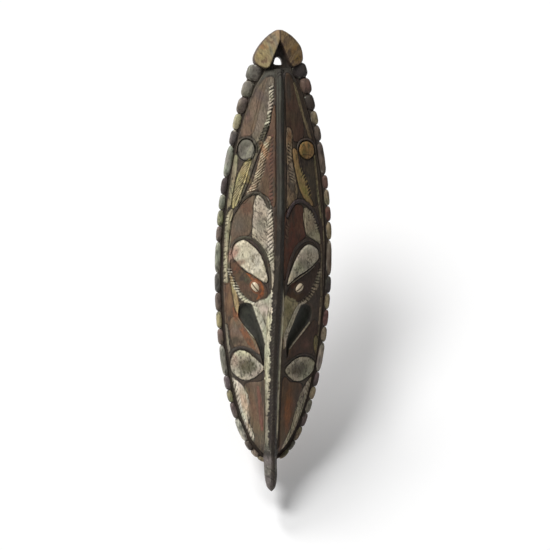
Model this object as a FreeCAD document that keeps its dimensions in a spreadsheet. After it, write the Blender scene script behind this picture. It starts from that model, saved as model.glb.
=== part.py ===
import FreeCAD, Part
import math
import os
import Sketcher

# A long carved mask. Heights are measured up from the tip of the beak, across is measured from
# the keel, and depth is measured forward from the flat back. The front faces -Y, and left and
# right are as a viewer in front sees them, so +X is to the right. The finished pieces are lowered
# so that the hanging hole lies at the origin, on the plane of the wall.

Vector = FreeCAD.Vector
doc = FreeCAD.newDocument("carved_mask")
sheet = doc.addObject("Spreadsheet::Sheet", "Dims")

DIMENSIONS = {
    # the outline over the knobs
    "half_width": 94.8,
    "widest_level": 364,
    "upper_reach": 488,
    "lower_reach": 322,
    "border_top": 674,
    "border_bottom": 46,
    "knob_proud": 6,
    "short_knob": 26,
    "long_knob": 50,
    "border_thick": 14,
    # the shell
    "border_band": 12,
    "ridge_half": 6,
    "wall": 15,
    "back_ledge": 15,
    "hollow_mouth": 1,
    "hollow_bottom": 92,
    "hollow_top": 636,
    "hollow_ridge_half": 5,
    "keel_shoulder": 7,
    # the finial and its hole
    "finial_top": 735,
    "finial_flat": 4,
    "finial_half": 41,
    "finial_widest": 690,
    "lobe_across": 16,
    "lobe_foot": 671,
    "finial_thick": 32,
    "finial_edge": 16,
    "hole_height": 686,
    "hole_width": 13,
    "hole_tall": 12,
    "cleft_top": 712,
    "cleft_foot": 674,
    "cleft_half": 14,
    "cleft_deep": 16,
    # the forehead discs
    "disc_across": 48,
    "disc_level": 544,
    "disc_radius": 14,
    "disc_proud": 3.5,
    # the eyes
    "eye_across": 35,
    "eye_level": 324,
    "eye_tilt": 35,
    "socket_long": 40,
    "socket_wide": 25,
    "socket_deep": 6,
    "putty_proud": 1.2,
    "shell_long": 17,
    "shell_wide": 11.5,
    "shell_tall": 9,
    "slit_wide": 1.2,
    "slit_long": 14,
    "slit_deep": 2,
    # the leaves carved on the face
    "leaf_proud": 3,
    "scoop_deep": 7,
}

# The shell's cross-sections: height above the tip, and depth of the roof's ridge.
ROOF_STATIONS = (
    (56, 40),
    (110, 47),
    (180, 55),
    (270, 61),
    (364, 63),
    (450, 59),
    (540, 49),
    (620, 39),
    (670, 31),
)

# The keel, nose and beak: height, half-width at the foot, half-width at the crest, depth of the
# foot and depth of the crest.
KEEL_STATIONS = (
    (0, 3, 2, 27, 34),
    (5, 6, 3, 21, 39),
    (14, 8, 4, 17, 43),
    (46, 10, 5, 12, 49),
    (120, 12, 6, 14, 57),
    (220, 14, 6, 20, 67),
    (300, 14, 6, 24, 71),
    (345, 11, 4, 24, 70),
    (450, 10, 4, 22, 64),
    (560, 9, 3.5, 18, 51),
    (668, 8, 3, 10, 35),
)

SIDES = ((-1, "left"), (1, "right"))

# Which knobs of the border are long, counted from the top.
KNOB_COUNT = 23
LONG_KNOBS = (5, 10, 15, 19)

# Leaves on the face, as their two ends and the middles of their two edges, (across, height).
RAISED_LEAVES = {
    "brow_lid": ((71, 378), (38, 392), (19, 322), (47, 346)),
    "cheek_leaf": ((71, 207), (50, 224), (25, 195), (49, 174)),
    "temple_leaf": ((76, 352), (70, 300), (68, 236), (77, 290)),
    "crown_leaf": ((17, 655), (29, 610), (39, 570), (23, 606)),
}
SUNK_LEAVES = {
    "nostril_scoop": ((56, 299), (58, 272), (25, 226), (35, 268)),
}


def fill_sheet():
    row = 1
    for name, value in DIMENSIONS.items():
        write_cell(row, name, value)
        row += 1
    for index, station in enumerate(ROOF_STATIONS):
        for word, value in zip(("level", "ridge"), station):
            write_cell(row, f"roof_{word}_{index}", value)
            row += 1
    for index, station in enumerate(KEEL_STATIONS):
        for word, value in zip(("level", "foot", "crest", "base", "front"), station):
            write_cell(row, f"keel_{word}_{index}", value)
            row += 1
    doc.recompute()


def write_cell(row, name, value):
    sheet.set(f"A{row}", name)
    sheet.set(f"B{row}", str(value))
    sheet.setAlias(f"B{row}", name)


def cell(name):
    return float(sheet.get(name))


def half_width(level):
    """Half of the width over the knobs at a height."""
    away = level - cell("widest_level")
    if away > 0:
        return cell("half_width") * (1 - (away / cell("upper_reach")) ** 2) ** 1.3
    return cell("half_width") * math.sqrt(1 - (away / cell("lower_reach")) ** 2)


def roof_ridge(level):
    """Depth of the roof's ridge at a height, between the stations."""
    pairs = list(zip(ROOF_STATIONS, ROOF_STATIONS[1:]))
    for (low, low_depth), (high, high_depth) in pairs:
        if level <= high:
            return low_depth + (high_depth - low_depth) * (level - low) / (high - low)
    return ROOF_STATIONS[-1][1]


def roof_depth(across, level):
    """Depth of the sloping roof at a point of the face."""
    eave = half_width(level) - cell("border_band")
    fall = (roof_ridge(level) - cell("border_thick")) / (eave - cell("ridge_half"))
    return cell("border_thick") + (eave - abs(across)) * fall


def new_body(label):
    body = doc.addObject("PartDesign::Body", label)
    body.Label = label
    return body


def plane_of(body, role):
    return next(f for f in body.Origin.OriginFeatures if f.Role == role)


def sketch_on(body, role, name, offset=None):
    sketch = body.newObject("Sketcher::SketchObject", name)
    sketch.AttachmentSupport = (plane_of(body, role), [""])
    sketch.MapMode = "FlatFace"
    if offset is not None:
        sketch.AttachmentOffset = offset
    return sketch


def draw_loop(sketch, edges):
    """Draws a closed chain of edges and fixes each where its sizes put it."""
    for index, edge in enumerate(edges):
        sketch.addGeometry(edge, False)
        sketch.addConstraint(Sketcher.Constraint("Block", index))


def polygon(points):
    return [Part.LineSegment(a, b) for a, b in zip(points, points[1:] + points[:1])]


def mirrored(point):
    return Vector(-point.x, point.y)


def raised_by(height):
    return FreeCAD.Placement(Vector(0, 0, height), FreeCAD.Rotation())


def pad(body, sketch, name, length):
    feature = body.newObject("PartDesign::Pad", name)
    feature.Profile = sketch
    feature.setExpression("Length", length)
    doc.recompute()


def pocket(body, sketch, name, length):
    """Cuts everything on the sketch's outer side, and refuses a cut that takes nothing away."""
    before = body.Shape.Volume
    feature = body.newObject("PartDesign::Pocket", name)
    feature.Profile = sketch
    feature.setExpression("Length", length)
    feature.Reversed = True
    doc.recompute()
    if body.Shape.Volume > before - 1:
        raise RuntimeError(f"{name} cuts nothing")


def loft(body, kind, name, sketches, ruled=False):
    feature = body.newObject(f"PartDesign::{kind}", name)
    feature.Profile = sketches[0]
    feature.Sections = sketches[1:]
    feature.Ruled = ruled
    doc.recompute()


def level_sketch(body, name, level):
    """A sketch lying flat at a height: its x runs across and its y runs back."""
    sketch = sketch_on(body, "XY_Plane", name)
    sketch.setExpression("AttachmentOffset.Base.z", level)
    return sketch


def knob_joints():
    """The points of the right-hand border where one knob meets the next, from the top down."""
    lengths = [cell("long_knob") if i in LONG_KNOBS else cell("short_knob") for i in range(KNOB_COUNT)]
    step = 0.5
    level = cell("border_top")
    path = []
    while level > cell("border_bottom"):
        path.append(Vector(half_width(level) - cell("knob_proud"), level))
        level -= step
    path.append(Vector(half_width(cell("border_bottom")) - cell("knob_proud"), cell("border_bottom")))
    reach = [0.0]
    for a, b in zip(path, path[1:]):
        reach.append(reach[-1] + (b - a).Length)
    stretch = reach[-1] / sum(lengths)
    joints = [path[0]]
    target = 0
    for length in lengths[:-1]:
        target += length * stretch
        joints.append(next(p for p, r in zip(path, reach) if r >= target))
    joints.append(path[-1])
    return joints


def border_outline():
    """The scalloped border: one arc to each knob, down the right side and up the left."""
    joints = knob_joints()
    right = []
    for a, b in zip(joints, joints[1:]):
        chord = b - a
        outward = Vector(-chord.y, chord.x).normalize()
        bulge = (a + b) * 0.5 + outward * cell("knob_proud")
        right.append((a, bulge, b))

    edges = [Part.Arc(*knob) for knob in right]
    edges.append(Part.LineSegment(joints[-1], mirrored(joints[-1])))
    edges += [Part.Arc(mirrored(b), mirrored(bulge), mirrored(a)) for a, bulge, b in reversed(right)]
    edges.append(Part.LineSegment(mirrored(joints[0]), joints[0]))
    return edges


def add_border(body):
    sketch = sketch_on(body, "XZ_Plane", "border_sketch")
    draw_loop(sketch, border_outline())
    pad(body, sketch, "border", "Dims.border_thick")


def roof_section(body, index):
    """One cross-section of the solid roof, which starts halfway up the border."""
    half = half_width(cell(f"roof_level_{index}")) - cell("border_band")
    eave, ridge, flat = cell("border_thick"), cell(f"roof_ridge_{index}"), cell("ridge_half")
    left = [Vector(-half, -0.5 * eave), Vector(-half, -eave), Vector(-flat, -ridge)]
    sketch = level_sketch(body, f"roof_{index}", f"Dims.roof_level_{index}")
    draw_loop(sketch, polygon(left + [mirrored(point) for point in reversed(left)]))
    return sketch


def add_roof(body):
    loft(body, "AdditiveLoft", "roof", [roof_section(body, i) for i in range(len(ROOF_STATIONS))])


def keel_section(body, index):
    """One cross-section of the keel: straight sides below a shoulder, sloping in to the crest."""
    foot, crest, base, front = (cell(f"keel_{w}_{index}") for w in ("foot", "crest", "base", "front"))
    shoulder = front - min(cell("keel_shoulder"), 0.35 * (front - base))
    left = [Vector(-foot, -base), Vector(-foot, -shoulder), Vector(-crest, -front)]
    sketch = level_sketch(body, f"keel_{index}", f"Dims.keel_level_{index}")
    draw_loop(sketch, polygon(left + [mirrored(point) for point in reversed(left)]))
    return sketch


def add_keel(body):
    sketches = [keel_section(body, i) for i in range(len(KEEL_STATIONS))]
    loft(body, "AdditiveLoft", "keel", sketches, True)


def hollow_section(body, index, name):
    """One cross-section of the hollow, a wall's thickness inside the roof, at a height in the sheet."""
    level = cell(name)
    half = half_width(level) - cell("border_band") - cell("back_ledge")
    mouth, deep = cell("hollow_mouth"), roof_ridge(level) - cell("wall")
    left = [Vector(-half, mouth), Vector(-half, -mouth), Vector(-cell("hollow_ridge_half"), -deep)]
    sketch = level_sketch(body, f"hollow_{index}", f"Dims.{name}")
    draw_loop(sketch, polygon(left + [mirrored(point) for point in reversed(left)]))
    return sketch


def add_hollow(body):
    low, high = cell("hollow_bottom"), cell("hollow_top")
    names = [f"roof_level_{i}" for i in range(len(ROOF_STATIONS))]
    inner = [name for name in names if low < cell(name) < high]
    before = body.Shape.Volume
    levels = ["hollow_bottom", *inner, "hollow_top"]
    loft(body, "SubtractiveLoft", "hollow", [hollow_section(body, i, n) for i, n in enumerate(levels)])
    if body.Shape.Volume > before - 1:
        raise RuntimeError("the hollow cuts nothing")


def finial_outline():
    """Two rounded lobes that meet at a blunt point, with a cleft between their feet."""
    half, widest, top, flat = (cell("finial_" + w) for w in ("half", "widest", "top", "flat"))
    tip, foot = cell("lobe_across"), cell("lobe_foot")
    cheek = Vector(0.76 * half, 0.42 * widest + 0.58 * top)
    heel = Vector(0.84 * half, 0.35 * widest + 0.65 * foot)
    right = [
        Part.Arc(Vector(tip, foot), heel, Vector(half, widest)),
        Part.Arc(Vector(half, widest), cheek, Vector(flat, top)),
    ]
    left = [
        Part.Arc(Vector(-flat, top), mirrored(cheek), Vector(-half, widest)),
        Part.Arc(Vector(-half, widest), mirrored(heel), Vector(-tip, foot)),
    ]
    ridge = Part.LineSegment(Vector(flat, top), Vector(-flat, top))
    floor = Part.LineSegment(Vector(-tip, foot), Vector(tip, foot))
    return right + [ridge] + left + [floor]


def add_finial(body):
    """The finial, blocked out at its full depth and then sloped back from its middle crease."""
    sketch = sketch_on(body, "XZ_Plane", "finial_sketch")
    draw_loop(sketch, finial_outline())
    pad(body, sketch, "finial", "Dims.finial_thick")
    front, edge, half = cell("finial_thick"), cell("finial_edge"), cell("finial_half")
    for side, word in SIDES:
        far = side * (half + 1)
        points = [Vector(0, -front), Vector(0, -front - 1), Vector(far, -front - 1), Vector(far, -edge)]
        slope = level_sketch(body, f"finial_slope_sketch_{word}", "Dims.lobe_foot + 1")
        draw_loop(slope, polygon(points))
        pocket(body, slope, f"finial_slope_{word}", "Dims.finial_top")


def add_cleft(body):
    """The pointed cleft between the finial's two lobes, cut from the front."""
    top, half, foot = cell("cleft_top"), cell("cleft_half"), cell("cleft_foot")
    points = [Vector(0, top), Vector(-half, foot), Vector(half, foot)]
    sketch = sketch_on(body, "XZ_Plane", "cleft_sketch")
    sketch.setExpression("AttachmentOffset.Base.z", "Dims.finial_thick - Dims.cleft_deep")
    draw_loop(sketch, polygon(points))
    pocket(body, sketch, "cleft", "2 * Dims.finial_thick")


def add_hanging_hole(body):
    half = 0.5 * cell("hole_width")
    low = cell("hole_height") - 0.5 * cell("hole_tall")
    high = low + cell("hole_tall")
    spring = high - half
    a, b, c, d = Vector(-half, low), Vector(half, low), Vector(half, spring), Vector(-half, spring)
    edges = [Part.LineSegment(a, b), Part.LineSegment(b, c)]
    edges += [Part.Arc(c, Vector(0, high), d), Part.LineSegment(d, a)]
    sketch = sketch_on(body, "XZ_Plane", "hole_sketch")
    draw_loop(sketch, edges)
    pocket(body, sketch, "hanging_hole", "2 * Dims.finial_thick")


def face_frame(side, across, level, lift):
    """A frame lying on the sloping face: x outward down the slope, y up and z out of the wood."""
    fall = (roof_depth(across - 1, level) - roof_depth(across + 1, level)) / 2
    rise = (roof_depth(across, level + 1) - roof_depth(across, level - 1)) / 2
    normal = Vector(side * fall, -rise, 1).normalize()
    outward = Vector(1, 0, -side * fall)
    turn = FreeCAD.Rotation(outward, Vector(0, 1, 0), normal, "ZXY")
    on_roof = Vector(side * across, level, roof_depth(across, level))
    return FreeCAD.Placement(on_roof + normal * lift, turn)


def add_discs(body):
    for side, word in SIDES:
        lift = -cell("disc_radius")
        frame = face_frame(side, cell("disc_across"), cell("disc_level"), lift)
        sketch = sketch_on(body, "XZ_Plane", f"disc_sketch_{word}", frame)
        sketch.addGeometry(Part.Circle(Vector(0, 0), Vector(0, 0, 1), cell("disc_radius")), False)
        sketch.addConstraint(Sketcher.Constraint("Radius", 0, cell("disc_radius")))
        sketch.setExpression("Constraints[0]", "Dims.disc_radius")
        pad(body, sketch, f"disc_{word}", "Dims.disc_radius + Dims.disc_proud")


def leaf_edges(side, leaf, frame):
    """A leaf of two arcs, dropped straight back onto the plane of a frame on the face."""
    normal = frame.Rotation.multVec(Vector(0, 0, 1))
    points = []
    for across, level in leaf:
        flat = Vector(side * across, level, 0)
        depth = normal.dot(frame.Base - flat) / normal.z
        points.append(frame.inverse().multVec(flat + Vector(0, 0, depth)))
    end, upper, other, lower = [Vector(p.x, p.y) for p in points]
    return [Part.Arc(end, upper, other), Part.Arc(other, lower, end)]


def leaf_centre(leaf):
    return [sum(point[k] for point in leaf) / len(leaf) for k in (0, 1)]


def add_leaf(body, side, name, leaf, lift):
    """Lays a leaf's sketch on the face, raised or sunk by lift."""
    frame = face_frame(side, *leaf_centre(leaf), lift)
    sketch = sketch_on(body, "XZ_Plane", f"{name}_sketch", frame)
    draw_loop(sketch, leaf_edges(side, leaf, frame))
    return sketch


def add_leaves(body):
    for side, word in SIDES:
        for name, leaf in RAISED_LEAVES.items():
            sketch = add_leaf(body, side, f"{name}_{word}", leaf, -cell("leaf_proud"))
            pad(body, sketch, f"{name}_{word}", "2 * Dims.leaf_proud")
        for name, leaf in SUNK_LEAVES.items():
            sketch = add_leaf(body, side, f"{name}_{word}", leaf, -cell("scoop_deep"))
            pocket(body, sketch, f"{name}_{word}", "4 * Dims.scoop_deep")


def eye_frame(side):
    """The floor of an eye socket: x along the eye, towards the temple and up, z out of the wood."""
    frame = face_frame(side, cell("eye_across"), cell("eye_level"), -cell("socket_deep"))
    tilt = FreeCAD.Rotation(Vector(0, 0, 1), side * cell("eye_tilt"))
    return FreeCAD.Placement(frame.Base, frame.Rotation.multiply(tilt))


def draw_ellipse(sketch):
    ellipse = Part.Ellipse(Vector(0, 0), 0.5 * cell("socket_long"), 0.5 * cell("socket_wide"))
    sketch.addGeometry(ellipse, False)
    sketch.addConstraint(Sketcher.Constraint("Block", 0))


def add_sockets(body):
    for side, word in SIDES:
        sketch = sketch_on(body, "XZ_Plane", f"socket_sketch_{word}", eye_frame(side))
        draw_ellipse(sketch)
        pocket(body, sketch, f"eye_socket_{word}", "6 * Dims.socket_deep")


def make_board():
    body = new_body("mask_board")
    add_border(body)
    add_roof(body)
    add_finial(body)
    add_keel(body)
    add_discs(body)
    add_leaves(body)
    add_sockets(body)
    add_hollow(body)
    add_cleft(body)
    add_hanging_hole(body)
    body.setExpression("Placement.Base.z", "-Dims.hole_height")
    return body


def shell_solid(body, kind, name):
    """The cowrie's ellipsoid, in the frame of the socket's floor."""
    feature = body.newObject(f"PartDesign::{kind}", name)
    feature.setExpression("Radius1", "0.5 * Dims.shell_tall")
    feature.setExpression("Radius2", "0.5 * Dims.shell_long")
    feature.setExpression("Radius3", "0.5 * Dims.shell_wide")
    feature.AttachmentSupport = (plane_of(body, "XY_Plane"), [""])
    feature.MapMode = "FlatFace"
    feature.setExpression("AttachmentOffset.Base.z", "Dims.socket_deep + Dims.putty_proud")
    doc.recompute()


def place_in_socket(body, side):
    """Sets a piece made on the socket's floor into the face: the floor's frame, turned upright."""
    lowered = raised_by(-cell("hole_height"))
    upright = FreeCAD.Placement(Vector(), FreeCAD.Rotation(Vector(1, 0, 0), 90))
    body.Placement = lowered.multiply(upright).multiply(eye_frame(side))


def make_putty(side, label):
    body = new_body(label)
    sketch = sketch_on(body, "XY_Plane", f"{label}_sketch")
    draw_ellipse(sketch)
    pad(body, sketch, f"{label}_bed", "Dims.socket_deep + Dims.putty_proud")
    shell_solid(body, "SubtractiveEllipsoid", f"{label}_seat")
    place_in_socket(body, side)
    return body


def make_cowrie(side, label):
    body = new_body(label)
    shell_solid(body, "AdditiveEllipsoid", f"{label}_shell")
    half_long, half_wide = 0.5 * cell("slit_long"), 0.5 * cell("slit_wide")
    floor = cell("socket_deep") + cell("putty_proud") + 0.5 * cell("shell_tall") - cell("slit_deep")
    lips = [Vector(-half_long, -half_wide), Vector(half_long, -half_wide)]
    lips += [Vector(half_long, half_wide), Vector(-half_long, half_wide)]
    sketch = sketch_on(body, "XY_Plane", f"{label}_sketch", raised_by(floor))
    draw_loop(sketch, polygon(lips))
    pocket(body, sketch, f"{label}_slit", "2 * Dims.slit_deep")
    place_in_socket(body, side)
    return body


def check_and_write(bodies):
    doc.recompute()
    for thing in doc.Objects:
        if "Invalid" in thing.State or "Error" in thing.State:
            raise RuntimeError(f"{thing.Name} failed: {thing.State}")
    os.makedirs("parts", exist_ok=True)
    for body in bodies:
        shape = body.Shape
        if shape.isNull() or not shape.isValid():
            raise RuntimeError(f"{body.Label} has no valid shape")
        shape.exportStep(f"parts/{body.Label}.step")
        print(body.Label, "solids", len(shape.Solids), "volume", round(shape.Volume))


fill_sheet()
pieces = [make_board()]
for eye_side, eye_word in SIDES:
    pieces.append(make_putty(eye_side, f"eye_putty_{eye_word}"))
    pieces.append(make_cowrie(eye_side, f"cowrie_{eye_word}"))
check_and_write(pieces)
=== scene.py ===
import math

import bmesh
import bpy
import numpy as np
from mathutils import Matrix, Vector
from mathutils.geometry import delaunay_2d_cdt


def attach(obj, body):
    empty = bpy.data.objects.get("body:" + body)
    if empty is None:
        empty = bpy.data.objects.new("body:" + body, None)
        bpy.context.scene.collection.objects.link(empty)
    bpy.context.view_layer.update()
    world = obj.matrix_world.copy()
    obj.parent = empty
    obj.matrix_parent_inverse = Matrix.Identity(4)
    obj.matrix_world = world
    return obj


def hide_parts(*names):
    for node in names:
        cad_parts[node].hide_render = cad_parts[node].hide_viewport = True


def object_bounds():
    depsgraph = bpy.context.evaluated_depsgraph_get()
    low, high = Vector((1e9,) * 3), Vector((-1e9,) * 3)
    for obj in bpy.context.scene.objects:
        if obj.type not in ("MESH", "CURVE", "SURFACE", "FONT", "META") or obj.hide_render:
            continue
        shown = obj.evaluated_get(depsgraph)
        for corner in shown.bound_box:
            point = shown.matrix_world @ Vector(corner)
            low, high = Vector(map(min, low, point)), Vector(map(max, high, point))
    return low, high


# The carved mask, in millimetres: across is measured from the keel, level up from the tip of the
# beak, and depth forward from the flat back. Left and right are as a viewer in front sees them.

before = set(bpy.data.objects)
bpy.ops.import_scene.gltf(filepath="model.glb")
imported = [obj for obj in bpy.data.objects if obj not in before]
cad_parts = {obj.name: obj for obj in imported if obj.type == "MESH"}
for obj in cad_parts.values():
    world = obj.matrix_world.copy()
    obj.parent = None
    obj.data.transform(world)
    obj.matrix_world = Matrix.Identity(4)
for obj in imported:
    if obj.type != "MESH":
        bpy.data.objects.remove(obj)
cad_low, cad_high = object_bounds()
TIP = cad_low.z

# ---------------------------------------------------------------- form of the mask

HALF_WIDTH, WIDEST = 94.8, 364
UPPER_REACH, LOWER_REACH = 488, 322
BOARD_BOTTOM, BOARD_TOP = 47, 676
# The board ends under the knobs. Inside them lies a sunk band, and from the eave beside it the board
# rises to the keel, no steeper than STEEPEST and swollen in between.
UNDER_KNOBS, BAND_WIDTH, BAND_DEPTH = 5.0, 5.5, 12.5
EAVE_DEPTH, STEEPEST, SWELL, KEEL_FOOT = 15.0, 1.9, 10, 9.0
SCOOP_DEPTH = 8.0
# Behind, a flat rim this wide goes round a hollow, and the wall between hollow and ridge is this thick.
BACK_RIM, WALL = 28, 15
# The keel stays this far forward at most, inside the CAD model.
KEEL_LIMIT = 70.6


def half_width(level):
    """From the keel to the rim's outer edge."""
    away = np.asarray(level, float) - WIDEST
    upper = np.clip(1 - (away / UPPER_REACH) ** 2, 0, 1) ** 1.3
    lower = np.sqrt(np.clip(1 - (away / LOWER_REACH) ** 2, 0, 1))
    return HALF_WIDTH * np.where(away > 0, upper, lower)


def smooth_through(levels, values):
    """A function that passes smoothly through values at rising levels."""
    levels, values = np.array(levels, float), np.array(values, float)
    slopes = np.gradient(values, levels)

    def at(level):
        level = np.clip(level, levels[0], levels[-1])
        i = np.clip(np.searchsorted(levels, level) - 1, 0, len(levels) - 2)
        span = levels[i + 1] - levels[i]
        t = (level - levels[i]) / span
        return (
            values[i] * (1 + 2 * t) * (1 - t) ** 2
            + values[i + 1] * t * t * (3 - 2 * t)
            + span * (slopes[i] * t * (1 - t) ** 2 - slopes[i + 1] * t * t * (1 - t))
        )

    return at


def knob_reach(level):
    """How far the knobs reach in from the rim: far under the round bosses at the top."""
    return np.interp(level, (560, 600, 640, 668), (7.5, 9.5, 13.0, 21.0))


# Depth of the board under the keel.
ridge_depth = smooth_through(
    (47, 56, 110, 180, 270, 364, 450, 540, 620, 676),
    (37, 40, 47, 55, 61, 62, 58, 48.5, 38.5, 30),
)


def ramp(x, low, high):
    """A smooth step from 0 at low to 1 at high."""
    t = np.clip((x - low) / (high - low), 0, 1)
    return t * t * (3 - 2 * t)


def bell(x, width):
    """1 where x is 0, falling away smoothly within about width."""
    return np.exp(-((x / width) ** 2))


def linear(colour):
    """A colour from 0 to 255 as linear light."""
    c = np.asarray(colour, float) / 255
    return np.where(c <= 0.04045, c / 12.92, ((c + 0.055) / 1.055) ** 2.4)


def noise(x, y, size, seed):
    """Smooth noise from -1 to 1, with bumps about size millimetres wide."""
    table = np.random.default_rng(seed).uniform(-1, 1, (128, 128))
    gx, gy = x / size, y / size
    ix, iy = np.floor(gx).astype(int), np.floor(gy).astype(int)
    fx, fy = ramp(gx - ix, 0, 1), ramp(gy - iy, 0, 1)
    low = table[ix % 128, iy % 128] * (1 - fx) + table[(ix + 1) % 128, iy % 128] * fx
    high = table[ix % 128, (iy + 1) % 128] * (1 - fx) + table[(ix + 1) % 128, (iy + 1) % 128] * fx
    return low * (1 - fy) + high * fy


def rough_noise(x, y, size, seed):
    """Noise with finer noise on top."""
    parts = [noise(x, y, size / 2**k, seed + 17 * k) / 2**k for k in range(3)]
    return sum(parts) / 1.4


def through(points, closed=False, per_span=8):
    """Points along a smooth curve that passes through the given ones."""
    p = np.array(points, float)
    if closed:
        p = np.vstack([p[-1], p, p[:2]])
    else:
        p = np.vstack([2 * p[0] - p[1], p, 2 * p[-1] - p[-2]])
    t = np.linspace(0, 1, per_span, endpoint=False)[:, None]
    spans = []
    for a, b, c, d in zip(p, p[1:], p[2:], p[3:]):
        square, cube = 2 * a - 5 * b + 4 * c - d, 3 * b - a - 3 * c + d
        spans.append(0.5 * (2 * b + (c - a) * t + square * t**2 + cube * t**3))
    out = np.vstack(spans)
    return out if closed else np.vstack([out, p[-2]])


def inside(x, y, loop):
    """Distance inside a closed outline, negative outside."""
    best, within = np.full(x.shape, 1e9), np.zeros(x.shape, bool)
    for (ax, ay), (bx, by) in zip(loop, np.roll(loop, -1, 0)):
        dx, dy = bx - ax, by - ay
        t = np.clip(((x - ax) * dx + (y - ay) * dy) / max(dx * dx + dy * dy, 1e-9), 0, 1)
        best = np.minimum(best, (x - ax - t * dx) ** 2 + (y - ay - t * dy) ** 2)
        crosses = (ay > y) != (by > y)
        within ^= crosses & (x < ax + dx * (y - ay) / (dy if abs(dy) > 1e-9 else 1e-9))
    return np.where(within, 1, -1) * np.sqrt(best)


def beside(x, y, path):
    """Distance along an open path, and how far a point is to its side: positive away from the
    keel for a path that runs downwards."""
    best, along, side = np.full(x.shape, 1e9), np.zeros(x.shape), np.zeros(x.shape)
    start = 0.0
    for (ax, ay), (bx, by) in zip(path, path[1:]):
        dx, dy = bx - ax, by - ay
        length = math.hypot(dx, dy)
        t = np.clip(((x - ax) * dx + (y - ay) * dy) / length**2, 0, 1)
        d = (x - ax - t * dx) ** 2 + (y - ay - t * dy) ** 2
        closer = d < best
        best = np.where(closer, d, best)
        along = np.where(closer, start + t * length, along)
        side = np.where(closer, np.sign(dx * (y - ay) - dy * (x - ax)) * np.sqrt(d), side)
        start += length
    return along, side, start


rim_levels = np.concatenate([
    np.linspace(700, 90, 120),
    WIDEST - LOWER_REACH * np.sin(np.linspace(1.02, 1.55, 30)),
])
RIM = np.column_stack([half_width(rim_levels), rim_levels])

# ---------------------------------------------------------------- paint

OLIVE, BROWN, UMBER, SOOT = (138, 134, 104), (114, 91, 72), (84, 68, 56), (60, 54, 49)


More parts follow.
